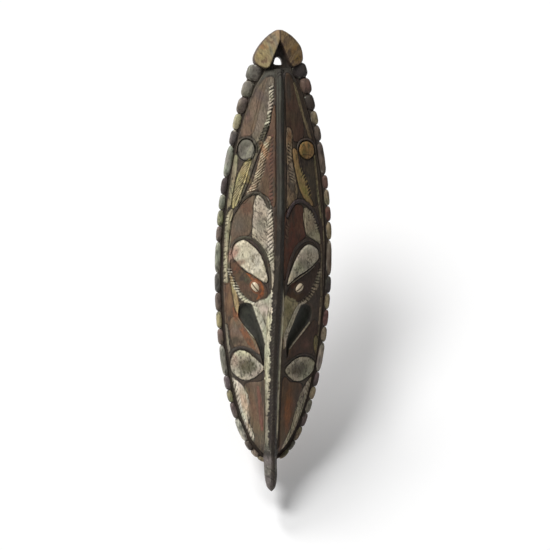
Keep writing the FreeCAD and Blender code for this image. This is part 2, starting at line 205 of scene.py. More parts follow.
class Face:
    """Points of a carved surface, how far the carving lifts each, and its paint."""

    seed = 100
    film = 0.72 * np.array((1, 0.985, 0.95))  # the light that the film of smoke lets through

    def __init__(self, across, level):
        self.x, self.y = across.ravel(), level.ravel()
        self.lift = np.zeros(self.x.size)
        self.paint = np.tile(linear(SOOT) * self.film, (self.x.size, 1))

    def near(self, points, margin):
        """The numbers, across and level of the surface's points in a box round the given ones."""
        low, high = points.min(0) - margin, points.max(0) + margin
        i = np.flatnonzero((self.x > low[0]) & (self.x < high[0]) & (self.y > low[1]) & (self.y < high[1]))
        return i, self.x[i], self.y[i]

    def coat(self, i, cover, colour, under=UMBER, worn=0.3, size=5, drawn=1.5, lean=0.0, scratch=0.3):
        """Lays colour on points i where cover is 1, dimmed by a film of smoke. The colour under it
        shows in worn patches, which are size wide and drawn out along the brush. The brush leans
        away from the keel going down by lean, and dark scratches follow it."""
        Face.seed += 7
        seed = Face.seed
        turn = math.atan(lean)
        x = self.x[i] * math.cos(turn) + self.y[i] * math.sin(turn)
        y = self.y[i] * math.cos(turn) - self.x[i] * math.sin(turn)
        patch = 0.6 * rough_noise(x, y / drawn, size, seed)
        patch += 0.4 * rough_noise(x, y / drawn, size / 3, seed + 1)
        bare = ramp(patch, 0.5 - worn, 0.9 - worn)[:, None]
        tone = 1 + 0.3 * rough_noise(x, y / (1.5 * drawn), 2.0, seed + 2) + 0.12 * noise(x, y, 13, seed + 3)
        drift = 1 + 0.07 * np.stack([noise(x, y, 17, seed + 4 + k) for k in range(3)], -1)
        mixed = (linear(colour) * (1 - bare) + linear(under) * bare) * tone[:, None] * drift
        cut = scratch * ramp(rough_noise(x, y / 2.5, 1.6, seed + 3) + 0.45 * patch, 0.1, 0.45)[:, None]
        mixed = self.film * (mixed * (1 - cut) + linear(SOOT) * cut)
        cover = cover[:, None]
        self.paint[i] = self.paint[i] * (1 - cover) + mixed * cover

    def wash(self, colour, cover=1.0, **coat):
        """A coat over the whole surface, as thick as cover says."""
        self.coat(np.arange(self.x.size), cover * np.ones(self.x.size), colour, **coat)

    def blotch(self, middle, wide, tall, colour, share=0.6, lean=0.0, **coat):
        """A soft patch of colour, which leans like the brush does."""
        x, y = self.x - middle[0], self.y - middle[1]
        d = np.hypot((x + lean * y) / wide, y / tall) + 0.18 * rough_noise(self.x, self.y, 6, Face.seed)
        i = np.flatnonzero(d < 1.6)
        self.coat(i, share * ramp(d[i], 1.35, 0.35), colour, lean=lean, **coat)

    def panel(self, outline, colour, lift=0.0, dome=0.0, groove=1.0, soft=0.8, grow=1.3, edge=0.55, **coat):
        """A painted leaf or field inside an outline, raised or sunk, with a sooty groove round it."""
        loop = through(outline, closed=True, per_span=6)
        i, x, y = self.near(loop, 4 + grow)
        d = inside(x, y, loop) + grow + 0.35 * noise(x, y, 4, Face.seed)
        self.lift[i] += lift * ramp(d, -0.6, 1.8) - groove * bell(d, 0.9)
        if dome:
            self.lift[i] += dome * np.sqrt(1 - (1 - np.clip(d / 9, 0, 1)) ** 2)
        ragged = d + 0.9 * rough_noise(x, y, 2.6, Face.seed + 1)
        self.coat(i, ramp(ragged, -soft, soft), colour, **coat)
        self.paint[i] *= 1 - edge * bell(d - 0.1, 1.0)[:, None]

    def line(self, path, half, colour, height=1.0, groove=0.6, taper=0.25, share=1.0, **coat):
        """A raised or sunk line along a path, thinner towards its ends."""
        path = through(path)
        i, x, y = self.near(path, half + 3)
        along, side, length = beside(x, y, path)
        ends = np.minimum(along, length - along) / length
        half = half * (1 - taper + taper * ramp(ends, 0, 0.2))
        side = np.abs(side) + 0.25 * noise(x, y, 5, Face.seed)
        t = np.clip(side / half, 0, 1)
        self.lift[i] += height * np.sqrt(1 - t**2) - groove * bell(side - half, 0.8)
        ragged = half - side + 0.5 * rough_noise(x, y, 2.6, Face.seed + 1)
        self.coat(i, share * ramp(ragged, -0.6, 0.6), colour, **coat)

    def teeth(self, path, half, pitch, light, dark=SOOT, lean=0.8, taper=0.6, cut=0.9, share=0.6, **coat):
        """A row of chip cuts along a path. Each leaves a light tooth, which leans down outwards
        and widens away from the keel by taper. No two cuts are quite alike."""
        path = through(path)
        i, x, y = self.near(path, half + 2)
        along, side, length = beside(x, y, path)
        run = (along - lean * side) / pitch + 0.3 * noise(x, y, 9, Face.seed + 3)
        draws = np.random.default_rng(Face.seed).uniform(-1, 1, (3, 256))
        luck = draws[:, np.floor(run).astype(int) % 256]
        phase = np.abs(run % 1 * 2 - 1) + 0.15 * noise(x, y, 2.2, Face.seed + 4)
        width = share + 0.14 * luck[0] + 0.5 * taper * side / half
        tooth = ramp(width - phase, -0.2, 0.2)
        reach = half * (1 + 0.22 * luck[1])
        here = ramp(reach - np.abs(side), -0.6, 0.6) * ramp(np.minimum(along, length - along), -0.5, 2.0)
        self.coat(i, (0.62 + 0.25 * luck[2]) * here * (1 - tooth), dark, worn=0.2)
        self.coat(i, here * tooth * (0.68 + 0.32 * luck[2]), light, **coat)
        self.lift[i] -= cut * here * (1 - tooth)


# ---------------------------------------------------------------- carving of both halves


def carve_left(f):
    """Panels, leaves, lines and rows of chip cuts on the viewer's left, from the top down."""
    # forehead
    f.panel([(10, 655), (18, 657), (24, 645), (29, 628), (33, 606), (38, 586), (42, 566), (38, 548),
        (33, 546), (27, 556), (20, 574), (15, 592), (13, 612), (11, 635)], (124, 113, 97),
        under=(158, 148, 128), worn=0.42, size=3.5, drawn=3, groove=0.8, scratch=0.4)
    f.blotch((33, 590), 9, 30, (148, 136, 116), lean=-0.3, scratch=0.6, drawn=3)
    f.panel([(20, 657), (31, 643), (40, 625), (47, 607), (52, 590), (57, 573), (57, 563), (48, 564),
        (41, 570), (38, 582), (34, 600), (30, 616), (25, 636)], (126, 106, 88), lift=0.4,
        under=(98, 84, 74), worn=0.35, size=6, drawn=5, edge=0.12, groove=0.25, soft=2.5)
    f.blotch((32, 632), 8, 18, (100, 86, 84), lean=-0.5)
    f.teeth([(13, 645), (14, 622), (16, 600), (20, 581), (27, 563), (33, 549)], 3.6, 5.8, (238, 228, 204),
        dark=(62, 56, 50), worn=0.4, under=OLIVE)
    # between the ridge and the double band
    f.panel([(8, 606), (12, 600), (15, 580), (20, 560), (25, 535), (30, 510), (32, 490), (31, 474),
        (26, 465), (17, 460), (8, 455), (8, 520)], (112, 86, 68), under=(92, 78, 66), worn=0.4, size=6,
        drawn=5, groove=0.6)
    f.teeth([(13.5, 566), (14, 530), (14.5, 490), (14, 452)], 3.0, 6.6, (126, 90, 76), dark=(88, 66, 56),
        cut=0.5, worn=0.4, under=BROWN)
    f.line([(20, 578), (26, 562), (34, 541), (42, 518), (50, 492), (57, 472), (64, 453)], 4.2, (74, 68, 58),
        height=0.9, groove=1.2)
    f.line([(23, 570), (30, 551), (38, 530), (46, 505), (53, 484), (60, 463)], 1.1, (150, 142, 114),
        height=-0.7, groove=0, share=0.75)
    f.line([(17, 560), (23, 542), (28, 523), (32, 506), (37, 489), (44, 474), (54, 459)], 4.6,
        (172, 146, 116), height=0.5, under=(122, 104, 86), worn=0.4, size=8, groove=0.7, scratch=0.5,
        lean=-0.4)
    f.teeth([(19, 555), (24, 533), (29, 512), (33, 497), (39, 482), (47, 469)], 5.0, 6.0, (232, 218, 188),
        dark=(92, 78, 62), lean=1.5, share=0.42, cut=0.8, worn=0.4, under=(150, 124, 98))
    f.blotch((24, 540), 5, 14, (196, 140, 100), lean=-0.4)
    f.blotch((37, 492), 6, 12, (140, 126, 106), lean=-0.5, scratch=0.7)
    # disc, cream leaf and outer strip
    disc(f, 50.5, 541, 12.2, 17, (110, 106, 97), under=(82, 80, 73))
    f.blotch((47, 541), 7, 13, (164, 160, 144), share=0.7, scratch=0.4)
    f.blotch((52, 552), 9, 8, (104, 100, 88), share=0.7)
    f.blotch((45, 543), 2.5, 12, (170, 165, 146), share=0.7, lean=0.5)
    f.blotch((49, 531), 8, 4, (172, 168, 150), share=0.75, lean=0.5)
    f.panel([(64, 531), (68, 529), (71, 508), (73, 488), (77, 468), (79, 449), (73, 452), (70, 470),
        (67, 488), (65, 508)], (172, 162, 130), under=(98, 92, 76), worn=0.4, size=3, drawn=3, scratch=0.7)
    f.panel([(44, 525), (50, 523), (57, 512), (63, 498), (66, 483), (69, 466), (70, 449), (65, 453),
        (60, 468), (54, 485), (49, 503)], (182, 168, 122), lift=0.6, under=(130, 124, 88), worn=0.35,
        size=4, drawn=3, scratch=0.55, lean=0.3)
    f.teeth([(49, 519), (54, 503), (59, 488), (63, 473), (66, 456)], 5.0, 6.0, (214, 200, 152),
        dark=(116, 104, 74), lean=2.2, share=0.5, cut=0.5, taper=-0.5)
    f.blotch((52, 500), 6, 12, (186, 160, 96), lean=-0.5, share=0.4)
    # brow
    f.panel([(38, 468), (48, 466), (58, 456), (66, 442), (71, 424), (72, 404), (71, 386), (66, 396),
        (58, 402), (50, 403), (44, 411), (40, 424), (38, 442)], (122, 103, 84), lift=-0.8,
        under=(134, 112, 92), worn=0.4, size=14, drawn=2)
    f.blotch((50, 450), 12, 12, (122, 82, 64), share=0.5)
    f.blotch((60, 420), 10, 14, (112, 106, 96), share=0.5)
    f.panel([(18, 462), (26, 469), (34, 468), (38, 455), (39, 435), (40, 418), (40, 402), (33, 395),
        (25, 384), (19, 369), (16, 350), (13, 332), (9, 316), (8, 345), (10, 380), (11, 420), (14, 446)],
        (200, 189, 166), under=(118, 108, 92), worn=0.42, size=4.5, drawn=1.3, lift=0.4, scratch=0.6,
        lean=-0.6)
    f.blotch((30, 425), 8, 16, (148, 138, 120), scratch=0.6)
    f.teeth([(17, 452), (15, 430), (15, 405), (14, 382), (13, 362)], 4.2, 6.2, (240, 232, 208),
        dark=(70, 64, 57), lean=0.9, worn=0.35, under=OLIVE)
    f.line([(17, 450), (22, 463), (32, 472), (43, 471), (53, 464), (61, 454), (68, 441), (73, 428)], 2.6,
        (76, 70, 60), height=1.6, groove=0.9)
    # outer strips beside the eye
    f.panel([(70, 446), (76, 440), (80, 425), (84, 405), (85, 385), (84.5, 360), (83, 340), (79, 328),
        (75, 331), (76, 345), (76, 365), (76, 385), (75, 405), (72, 425)], (166, 160, 130),
        under=(112, 104, 82), worn=0.35, size=3, drawn=3, scratch=0.5)
    f.teeth([(79, 440), (81.5, 410), (82, 385), (81.5, 360), (80, 330)], 4.0, 6.8, (222, 217, 184),
        dark=(84, 78, 64), lean=0.4, taper=-0.8, cut=0.8, share=0.58)
    f.line([(72, 404), (73.5, 380), (73.5, 345)], 1.1, (146, 136, 116), height=0.4, groove=0.4)
    f.panel([(69, 332), (76, 328), (82, 326), (82, 300), (79, 270), (74, 255), (66, 262), (63, 275),
        (64, 290), (66, 312)], (122, 97, 76), under=(90, 76, 66), worn=0.35, drawn=5, edge=0.25, groove=0.3)
    f.blotch((72, 300), 4, 26, (150, 118, 88), share=0.5, drawn=4)
    f.teeth([(83.5, 345), (84, 318), (82.5, 290), (80, 262), (77, 243)], 2.2, 6.2, (182, 174, 154),
        dark=(74, 66, 58), lean=0.5, share=0.5, cut=0.6)
    f.panel([(69, 348), (72, 342), (69, 325), (66, 306), (61, 284), (58, 283), (60, 302), (63, 320),
        (66, 336)], (182, 160, 118), under=(150, 132, 98), size=4, drawn=3)
    # eye
    eye(f, [(70, 366), (61, 356), (51, 348), (41, 341), (31, 334), (22, 327), (18, 316), (20, 307),
        (27, 303), (36, 301), (46, 305), (54, 313), (61, 324), (67, 338), (71, 352)], (102, 83, 66))
    f.blotch((62, 352), 7, 8, (140, 88, 66), lean=0.6)
    f.blotch((47, 334), 5, 5, (92, 98, 76), share=0.7)
    f.line([(48, 345), (41, 341), (34, 334), (28, 326), (26, 318), (28, 310), (32, 305)], 4.2,
        (164, 98, 56), height=0.0, groove=0.0, taper=0.8, under=(124, 74, 56), worn=0.35, scratch=0.15)
    f.blotch((24, 306), 6, 5, (92, 70, 58), share=0.7)
    f.teeth([(74, 354), (69, 337), (63, 323), (57, 312), (49, 303), (39, 297), (28, 297)], 3.5, 4.8,
        (236, 228, 206), dark=(80, 72, 62), lean=-0.4, taper=0.3, share=0.48, worn=0.4)
    f.line([(61, 317), (53, 308), (43, 300), (32, 296), (22, 299)], 2.4, (228, 220, 198), height=0.3,
        groove=0.1, under=(150, 140, 118), worn=0.4, size=3, share=0.8)
    f.line([(13, 322), (15, 345), (19, 367), (27, 385), (37, 397), (48, 402), (60, 400), (69, 391),
        (73, 376)], 2.4, (78, 74, 62), height=1.2)
    f.panel([(54, 398), (44, 392), (33, 381), (26, 369), (21, 353), (17, 336), (20, 331), (27, 335),
        (36, 341), (45, 347), (54, 354), (62, 362), (68, 371), (69, 382), (64, 392)], (228, 220, 198),
        dome=3.0, groove=1.3, grow=0.6, under=(170, 160, 136), worn=0.35, scratch=0.35)
    f.blotch((68, 377), 8, 14, (190, 154, 132), share=0.9, lean=0.4)
    f.blotch((60, 361), 8, 7, (146, 104, 82), share=0.75, lean=0.7)
    f.blotch((33, 343), 9, 7, (150, 148, 124), share=0.4, lean=0.9)
    # nose side and nostril
    f.panel([(10, 308), (18, 306), (28, 302), (35, 295), (30, 284), (22, 276), (16, 262), (13, 235),
        (10, 235)], (206, 199, 178), under=(160, 155, 134), size=7, drawn=3, groove=0.2, edge=0.1,
        scratch=0.12)
    f.blotch((13, 296), 5, 10, (150, 144, 118), share=0.5)
    f.line([(52, 304), (44, 297), (35, 288), (28, 275), (22, 259), (17, 243), (14, 226)], 4.6,
        (196, 190, 170), height=0.8, under=(134, 130, 110), taper=0.6, scratch=0.35, groove=0.1)
    scoop(f, [(40, 297), (48, 299), (56, 296), (59, 287), (58, 275), (51, 264), (43, 254), (35, 244),
        (29, 230), (24, 214), (20, 200), (17, 206), (18, 225), (21, 243), (26, 260), (32, 276), (36, 288)])
    # The raised lip along the nostril's lower edge is painted pale: a painted highlight.
    f.line([(58, 273), (51, 263), (43, 253), (34, 242)], 1.1, (172, 166, 148), height=0.8, groove=0.4)
    # cheek
    f.panel([(61, 271), (53, 262), (45, 252), (37, 243), (30, 231), (26, 220), (34, 221), (44, 225),
        (55, 228), (63, 230), (67, 242), (69, 256), (70, 268), (66, 275)], (138, 114, 95), lift=0.3,
        edge=0.3, groove=0.4, under=(112, 88, 74), worn=0.4, size=9, drawn=2)
    f.line([(66, 290), (58, 268), (50, 253), (41, 237), (33, 225)], 4.5, (150, 98, 68), height=0.0,
        groove=0.0, taper=0.7, under=(116, 84, 66), worn=0.4, share=0.75)
    f.blotch((63, 238), 7, 9, (72, 66, 54), share=0.75)
    f.blotch((60, 262), 8, 14, (126, 116, 104), lean=0.3)
    f.panel([(75, 263), (80, 262), (80.5, 250), (78, 235), (74, 221), (69, 221), (71, 235), (73, 252)],
        (170, 160, 140), under=(104, 98, 88), worn=0.45, size=3, drawn=2, scratch=0.6)
    # lower leaf and the streaked panel under it
    f.line([(14, 198), (22, 208), (33, 219), (45, 226), (57, 227), (67, 220), (72, 206), (70, 190),
        (60, 178)], 2.4, (70, 64, 58), height=0.6)
    f.panel([(19, 196), (26, 205), (36, 214), (45, 221), (54, 223), (62, 219), (66, 210), (68, 200),
        (65, 190), (58, 182), (50, 177), (42, 176), (34, 180), (26, 187)], (202, 194, 173), dome=2.2,
        groove=1.3, grow=0.8, under=(122, 118, 100), worn=0.42, size=3, scratch=0.65)
    f.blotch((44, 199), 15, 14, (88, 84, 58), share=0.85, scratch=0.6, size=3)
    f.blotch((62, 206), 5, 12, (190, 162, 142), share=0.5)
    f.panel([(12, 178), (24, 174), (36, 173), (45, 168), (41, 150), (38, 135), (38, 120), (35, 106),
        (31, 94), (27, 80), (24, 68), (16, 58), (9, 55), (10, 90), (11, 130)], (120, 102, 84),
        under=(88, 76, 66), worn=0.45, size=4, drawn=12)
    f.blotch((34, 140), 5, 34, (138, 108, 84), drawn=8, lean=-0.2)
    f.line([(27, 166), (24, 148), (22, 130), (20, 112), (18, 98)], 2.6, (146, 98, 86), height=0.2,
        groove=0.2, under=BROWN, worn=0.4, drawn=5, share=0.7)
    f.line([(15, 170), (15, 140), (14, 110), (13, 80)], 1.8, (84, 82, 66), height=-0.5, groove=0.0,
        share=0.8)
    f.panel([(63, 178), (67, 176), (61, 160), (57, 145), (54, 130), (50, 115), (45, 100), (40, 88),
        (34, 77), (29, 71), (29, 85), (33, 98), (38, 110), (39, 125), (40, 140), (43, 155), (51, 168)],
        (248, 237, 213), under=(150, 136, 112), worn=0.35, size=4, drawn=3, lift=0.4, scratch=0.4)
    f.blotch((47, 158), 7, 8, (156, 150, 118), share=0.5)
    f.blotch((45, 140), 6, 20, (206, 172, 146), lean=-0.3)
    f.teeth([(65, 174), (60, 158), (56, 143), (53, 128), (49, 113), (43, 98), (34, 80)], 6.6, 7.4,
        (255, 248, 230), dark=(70, 62, 52), lean=1.5, share=0.5, worn=0.25, taper=-0.7)


def carve_right(f):
    """The same on the right, where the carver worked darker and less evenly."""
    # forehead
    f.panel([(10, 662), (19, 661), (25, 648), (29, 630), (35, 610), (39, 592), (41, 575), (38, 559),
        (30, 556), (20, 561), (12, 575), (10, 620)], (100, 78, 64), under=(88, 62, 54), worn=0.35, size=10,
        drawn=5, groove=0.8)
    f.blotch((14, 640), 6, 22, (84, 78, 72), share=0.7)
    f.line([(25, 650), (32, 627), (38, 607), (44, 591), (49, 577), (54, 562), (57, 550)], 2.8,
        (136, 122, 94), height=0.6, under=(98, 86, 74), worn=0.4)
    f.panel([(11, 574), (20, 571), (20, 550), (19, 535), (22, 515), (27, 495), (30, 478), (28, 466),
        (22, 455), (14, 443), (12, 455), (12, 480), (12, 520)], (150, 128, 104), under=(92, 76, 64),
        worn=0.5, size=4, drawn=3, lift=0.4, scratch=0.6)
    f.blotch((15, 558), 5, 14, (156, 120, 86), share=0.7)
    f.blotch((20, 500), 7, 22, (150, 140, 122), scratch=0.6)
    f.teeth([(16, 556), (16, 536), (18, 512), (22, 490)], 4.2, 5.8, (176, 160, 134), dark=(64, 54, 48),
        cut=0.8)
    f.panel([(38, 534), (58, 532), (62, 510), (65, 485), (67, 466), (62, 456), (54, 468), (50, 488),
        (44, 504), (39, 519)], (88, 76, 63), under=(66, 58, 52), worn=0.4, size=8, drawn=3, lift=-0.5)
    f.panel([(22, 543), (28, 541), (32, 521), (37, 506), (43, 495), (49, 482), (53, 468), (59, 457),
        (52, 457), (44, 465), (36, 478), (31, 493), (27, 510), (24, 526)], (178, 144, 98), lift=0.6,
        under=(130, 118, 78), worn=0.35, size=7, drawn=2)
    f.blotch((44, 478), 7, 12, (170, 154, 92), share=0.7, lean=0.5)
    f.teeth([(34, 514), (42, 499), (48, 486), (53, 470)], 3.4, 5.6, (190, 166, 112), dark=(66, 56, 46),
        lean=-0.4, taper=-0.7, cut=0.8)
    f.line([(61, 536), (63.5, 515), (66, 495), (68, 475), (71, 455), (74, 437)], 2.2, (132, 122, 94),
        height=0.5, under=(90, 82, 68), worn=0.4)
    disc(f, 46.5, 544, 13.8, 14.2, (164, 124, 78), under=(114, 103, 67))
    f.blotch((41, 538), 7, 8, (126, 112, 66), share=0.65)
    # brow
    f.panel([(10, 442), (22, 453), (36, 455), (42, 442), (42, 422), (45, 408), (38, 399), (28, 389),
        (20, 373), (14, 353), (8, 338), (8, 380), (8, 420)], (104, 70, 56), lift=-0.5, under=(86, 68, 58),
        worn=0.4, size=12, drawn=3)
    f.blotch((20, 395), 8, 26, (110, 64, 54))
    f.panel([(43, 450), (52, 448), (61, 440), (66, 425), (71, 410), (73, 396), (67, 399), (57, 404),
        (48, 410), (44, 422), (42, 436)], (190, 176, 150), under=(130, 118, 100), worn=0.4, size=4, drawn=2,
        lift=0.3, scratch=0.4, lean=0.4)
    f.teeth([(14, 440), (12, 420), (11, 400)], 2.8, 8.0, (128, 100, 86), dark=(70, 52, 48), lean=0.9,
        worn=0.4, cut=0.6)
    f.teeth([(47, 449), (56, 444), (63, 432), (68, 416)], 3.0, 4.8, (178, 168, 146), dark=(74, 66, 58),
        lean=0.2, cut=0.6, taper=-0.6)
    f.line([(12, 436), (18, 450), (27, 460), (37, 462), (47, 458), (56, 451), (63, 440), (68, 428)], 3.0,
        (72, 62, 62), height=1.6, groove=0.9)
    # outer strips beside the eye
    f.line([(75, 445), (78, 425), (80, 405), (81, 385)], 1.6, (128, 118, 90), height=0.4, worn=0.4)
    f.line([(74, 400), (76, 370), (76, 345), (77, 312)], 1.5, (124, 112, 92), height=0.4, worn=0.4)
    f.teeth([(82, 400), (83, 370), (82, 340), (82, 312)], 2.8, 7.4, (112, 98, 82), dark=UMBER, lean=0.3,
        taper=-0.8, cut=0.6)
    f.line([(76, 308), (76, 285), (74, 262), (73, 248)], 2.0, (152, 136, 110), height=0.4,
        under=(100, 88, 74), worn=0.4)
    # eye
    eye(f, [(71, 364), (61, 356), (51, 348), (41, 341), (30, 334), (20, 327), (15, 320), (14, 310),
        (20, 304), (30, 302), (40, 305), (50, 311), (58, 318), (64, 330), (70, 346)], (70, 54, 45))
    f.blotch((30, 312), 16, 8, (98, 74, 50), share=0.7)
    f.blotch((25, 328), 8, 6, (130, 82, 58), share=0.4)
    f.line([(18, 329), (30, 337), (41, 344), (51, 350), (63, 359)], 0.9, (158, 148, 128), height=0.6,
        groove=0.3)
    f.teeth([(74, 356), (69, 336), (63, 323), (55, 312), (45, 303), (35, 298), (24, 300)], 4.4, 5.2,
        (168, 156, 134), dark=(84, 74, 62), lean=-0.3, taper=0.4, cut=0.7, worn=0.35)
    f.line([(11, 322), (14, 345), (20, 368), (28, 386), (38, 396), (50, 401), (61, 398), (69, 389),
        (73, 374)], 2.6, (70, 60, 54), height=1.2)
    f.panel([(53, 393), (43, 389), (34, 379), (27, 367), (21, 353), (16, 339), (14, 329), (20, 333),
        (30, 341), (41, 348), (51, 354), (61, 362), (69, 370), (70, 379), (66, 387)], (208, 199, 177),
        dome=3.0, groove=1.3, grow=0.6, under=(136, 130, 114), worn=0.4, scratch=0.4)
    f.blotch((44, 361), 12, 8, (104, 98, 88), share=0.5, lean=0.7)
    # nose side and nostril
    f.panel([(10, 304), (20, 307), (29, 303), (34, 296), (29, 286), (20, 276), (15, 262), (12, 235),
        (10, 235)], (178, 166, 134), under=(144, 134, 106), worn=0.4, size=6, drawn=2, groove=0.3, edge=0.1)
    f.blotch((17, 290), 7, 12, (134, 126, 78))
    f.line([(48, 303), (40, 297), (33, 289), (27, 277), (21, 264), (15, 250), (13, 232)], 4.2,
        (186, 176, 156), height=0.8, under=(130, 122, 104), worn=0.35, taper=0.6, scratch=0.4)
    scoop(f, [(40, 297), (48, 299), (56, 296), (60, 288), (59, 277), (54, 267), (46, 257), (37, 246),
        (28, 236), (21, 226), (17, 213), (15, 225), (15, 240), (20, 255), (26, 268), (31, 280), (36, 290)])
    # The raised lip along the nostril's lower edge is painted pale: a painted highlight.
    f.line([(56, 269), (47, 258), (38, 247), (29, 237), (21, 227)], 1.5, (152, 144, 126), height=0.8,
        groove=0.4)
    # cheek
    f.panel([(61, 269), (52, 258), (40, 246), (29, 234), (21, 223), (18, 211), (28, 213), (40, 218),
        (52, 218), (63, 221), (68, 235), (71, 250), (72, 264), (67, 272)], (84, 64, 52), lift=0.3, edge=0.3,
        groove=0.4, under=(76, 60, 54), worn=0.35, size=9, drawn=2)
    f.blotch((50, 236), 8, 10, (112, 76, 66))
    f.panel([(68, 248), (72, 244), (75, 231), (74, 217), (70, 220), (66, 233)], (150, 138, 96),
        under=(108, 98, 70), worn=0.35, size=4, scratch=0.5)
    f.teeth([(80, 268), (80, 248), (78, 228), (76, 214)], 2.2, 6.2, (140, 128, 106), dark=UMBER, lean=0.4,
        share=0.5, cut=0.6)
    # lower leaf and the panel under it
    f.line([(12, 200), (22, 208), (32, 214), (42, 218), (54, 218), (65, 214), (73, 203), (70, 190),
        (60, 178)], 2.2, (66, 58, 52), height=0.6)
    f.panel([(15, 194), (22, 203), (31, 210), (41, 214), (52, 214), (61, 212), (68, 206), (70, 199),
        (64, 189), (55, 182), (45, 177), (34, 176), (25, 181), (18, 187)], (192, 182, 160), dome=2.0,
        groove=1.3, grow=0.8, under=(112, 106, 88), worn=0.45, size=3.5, scratch=0.6)
    f.blotch((38, 194), 19, 11, (88, 80, 62), share=0.8, scratch=0.6, size=3)
    f.panel([(12, 180), (25, 174), (38, 173), (47, 167), (42, 148), (37, 130), (35, 115), (31, 100),
        (25, 86), (18, 74), (10, 64), (10, 90), (10, 130)], (112, 88, 68), under=(82, 64, 52), worn=0.4,
        drawn=12)
    f.blotch((23, 128), 8, 36, (160, 100, 58), share=0.8, drawn=8)
    f.blotch((38, 155), 6, 16, (78, 66, 58))
    f.panel([(64, 181), (61, 165), (58, 150), (54, 135), (50, 120), (45, 108), (39, 95), (33, 84), (25, 74),
        (17, 67), (20, 78), (27, 92), (32, 105), (35, 118), (38, 132), (42, 146), (47, 160), (55, 172)],
        (208, 194, 166), under=(110, 98, 82), worn=0.42, size=3, drawn=3, lift=0.4, scratch=0.5)
    f.teeth([(63, 176), (58, 158), (54, 142), (50, 126), (44, 110), (38, 97), (28, 82)], 4.0, 6.2,
        (184, 172, 148), dark=(84, 74, 62), lean=1.0, cut=0.8, taper=-0.4)


def disc(f, across, level, wide, tall, colour, under):
    """A domed disc on the forehead, with a raised dark hood over it."""

    def arc(start, end, count, grow, **spacing):
        turn = np.radians(np.linspace(start, end, count, **spacing))
        return np.column_stack([across + (wide + grow) * np.sin(turn), level + (tall + grow) * np.cos(turn)])

    f.line(arc(-100, 100, 11, 3), 2.2, (74, 67, 58), height=1.8, groove=0.6, taper=0.6)
    f.panel(arc(0, 360, 20, 0, endpoint=False), colour, dome=4.0, groove=1.4, grow=0.6, under=under,
            worn=0.4, size=5, scratch=0.3)


def eye(f, outline, colour):
    """The sunk leaf that holds an eye."""
    f.panel(outline, colour, lift=-1.2, grow=0.8, under=(78, 66, 60), worn=0.35, size=9, scratch=0.2)


def scoop(f, outline):
    """A deep leaf-shaped nostril, lighter grey towards its edge: partly a grey rim and partly painted light
    on its sloping walls.
    """
    loop = through(outline, closed=True, per_span=6)
    i, x, y = f.near(loop, 3)
    d = inside(x, y, loop)
    f.lift[i] -= SCOOP_DEPTH * np.sqrt(1 - (1 - np.clip(d / 9.5, 0, 1)) ** 2)
    cover = ramp(d, -0.5, 0.8)
    f.coat(i, cover, (66, 66, 60), under=(50, 49, 47), worn=0.4, size=8, scratch=0.1)
    # Lighter grey within a few millimetres of the edge: painted light on the nostril's walls, with a grey
    # rim.
    f.coat(i, 0.6 * cover * ramp(d, 6, 1), (110, 107, 98), scratch=0.2)


# ---------------------------------------------------------------- meshes


def place(across, depth, level):
    """Millimetres of the mask as points of the shared frame, in metres."""
    return np.stack([across, -depth, level], -1).reshape(-1, 3) / 1000 + (0, 0, TIP)


def added(name, data):
    """An object made from data, in the scene."""
    thing = bpy.data.objects.new(name, data)
    bpy.context.scene.collection.objects.link(thing)
    return thing


def solid(name, points, faces, material, paint=None, rough=0.6, sharp=55, stands_for="mask_board"):
    """A visible piece, painted point by point where paint is given, with rough beside it."""
    mesh = bpy.data.meshes.new(name)
    mesh.from_pydata(np.asarray(points).tolist(), [], faces)
    if paint is not None:
        rgba = np.column_stack([np.clip(paint, 0, 1), np.ones(len(points))]).astype(np.float32)
        mesh.attributes.new("paint", "FLOAT_COLOR", "POINT").data.foreach_set("color", rgba.ravel())
        matt = np.full(len(points), rough, np.float32)
        mesh.attributes.new("matt", "FLOAT", "POINT").data.foreach_set("value", matt)
    b = bmesh.new()
    b.from_mesh(mesh)
    bmesh.ops.recalc_face_normals(b, faces=b.faces)
    b.to_mesh(mesh)
    b.free()
    mesh.shade_smooth()
    mesh.set_sharp_from_angle(angle=math.radians(sharp))
    mesh.materials.append(material)
    thing = added(name, mesh)
    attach(thing, "root")
    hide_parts(stands_for)


def grid_faces(rows, columns, start=0, wrap=False, flip=False):
    """Quads of a grid whose points are numbered row by row from start."""
    i, j = np.meshgrid(np.arange(rows - 1), np.arange(columns if wrap else columns - 1), indexing="ij")
    k = (j + 1) % columns
    quads = np.stack([i * columns + j, i * columns + k, (i + 1) * columns + k, (i + 1) * columns + j], -1)
    quads = quads.reshape(-1, 4) + start
    return (quads[:, ::-1] if flip else quads).tolist()


def blurred(grid, reach):
    """A grid of values, each averaged with those within about reach columns and rows."""
    kernel = np.exp(-0.5 * (np.arange(-3 * reach, 3 * reach + 1) / reach) ** 2)
    kernel /= kernel.sum()
    padded = np.pad(grid, 3 * reach, mode="edge")
    across = np.apply_along_axis(lambda row: np.convolve(row, kernel, "valid"), 1, padded)
    return np.apply_along_axis(lambda column: np.convolve(column, kernel, "valid"), 0, across)


def grime_wear_shade_and_highlight(f, shape):
    """The paint of f, darker in hollows, partly grime and partly painted shade, and lighter on proud edges,
    partly rubbed wear and partly painted highlight.
    """
    grid = f.lift.reshape(shape)
    proud = (grid - blurred(grid, 3)).ravel()[:, None]
    # Painted shade in the hollows and painted highlight on the proud edges, laid over grime and wear.
    return f.paint * (1 - 0.6 * np.clip(-proud, 0, 1)) * (1 + 0.4 * np.clip(proud / 0.8, 0, 1))


def raw_wood(across, level, colour=(108, 84, 62)):
    """The colours of the unpainted back, where there is no smoke."""
    raw = Face(across, level)
    raw.film = 1.0
    raw.wash(colour, under=(78, 60, 46), worn=0.45, size=9, drawn=5)
    return raw.paint


# ---------------------------------------------------------------- the two halves of the face

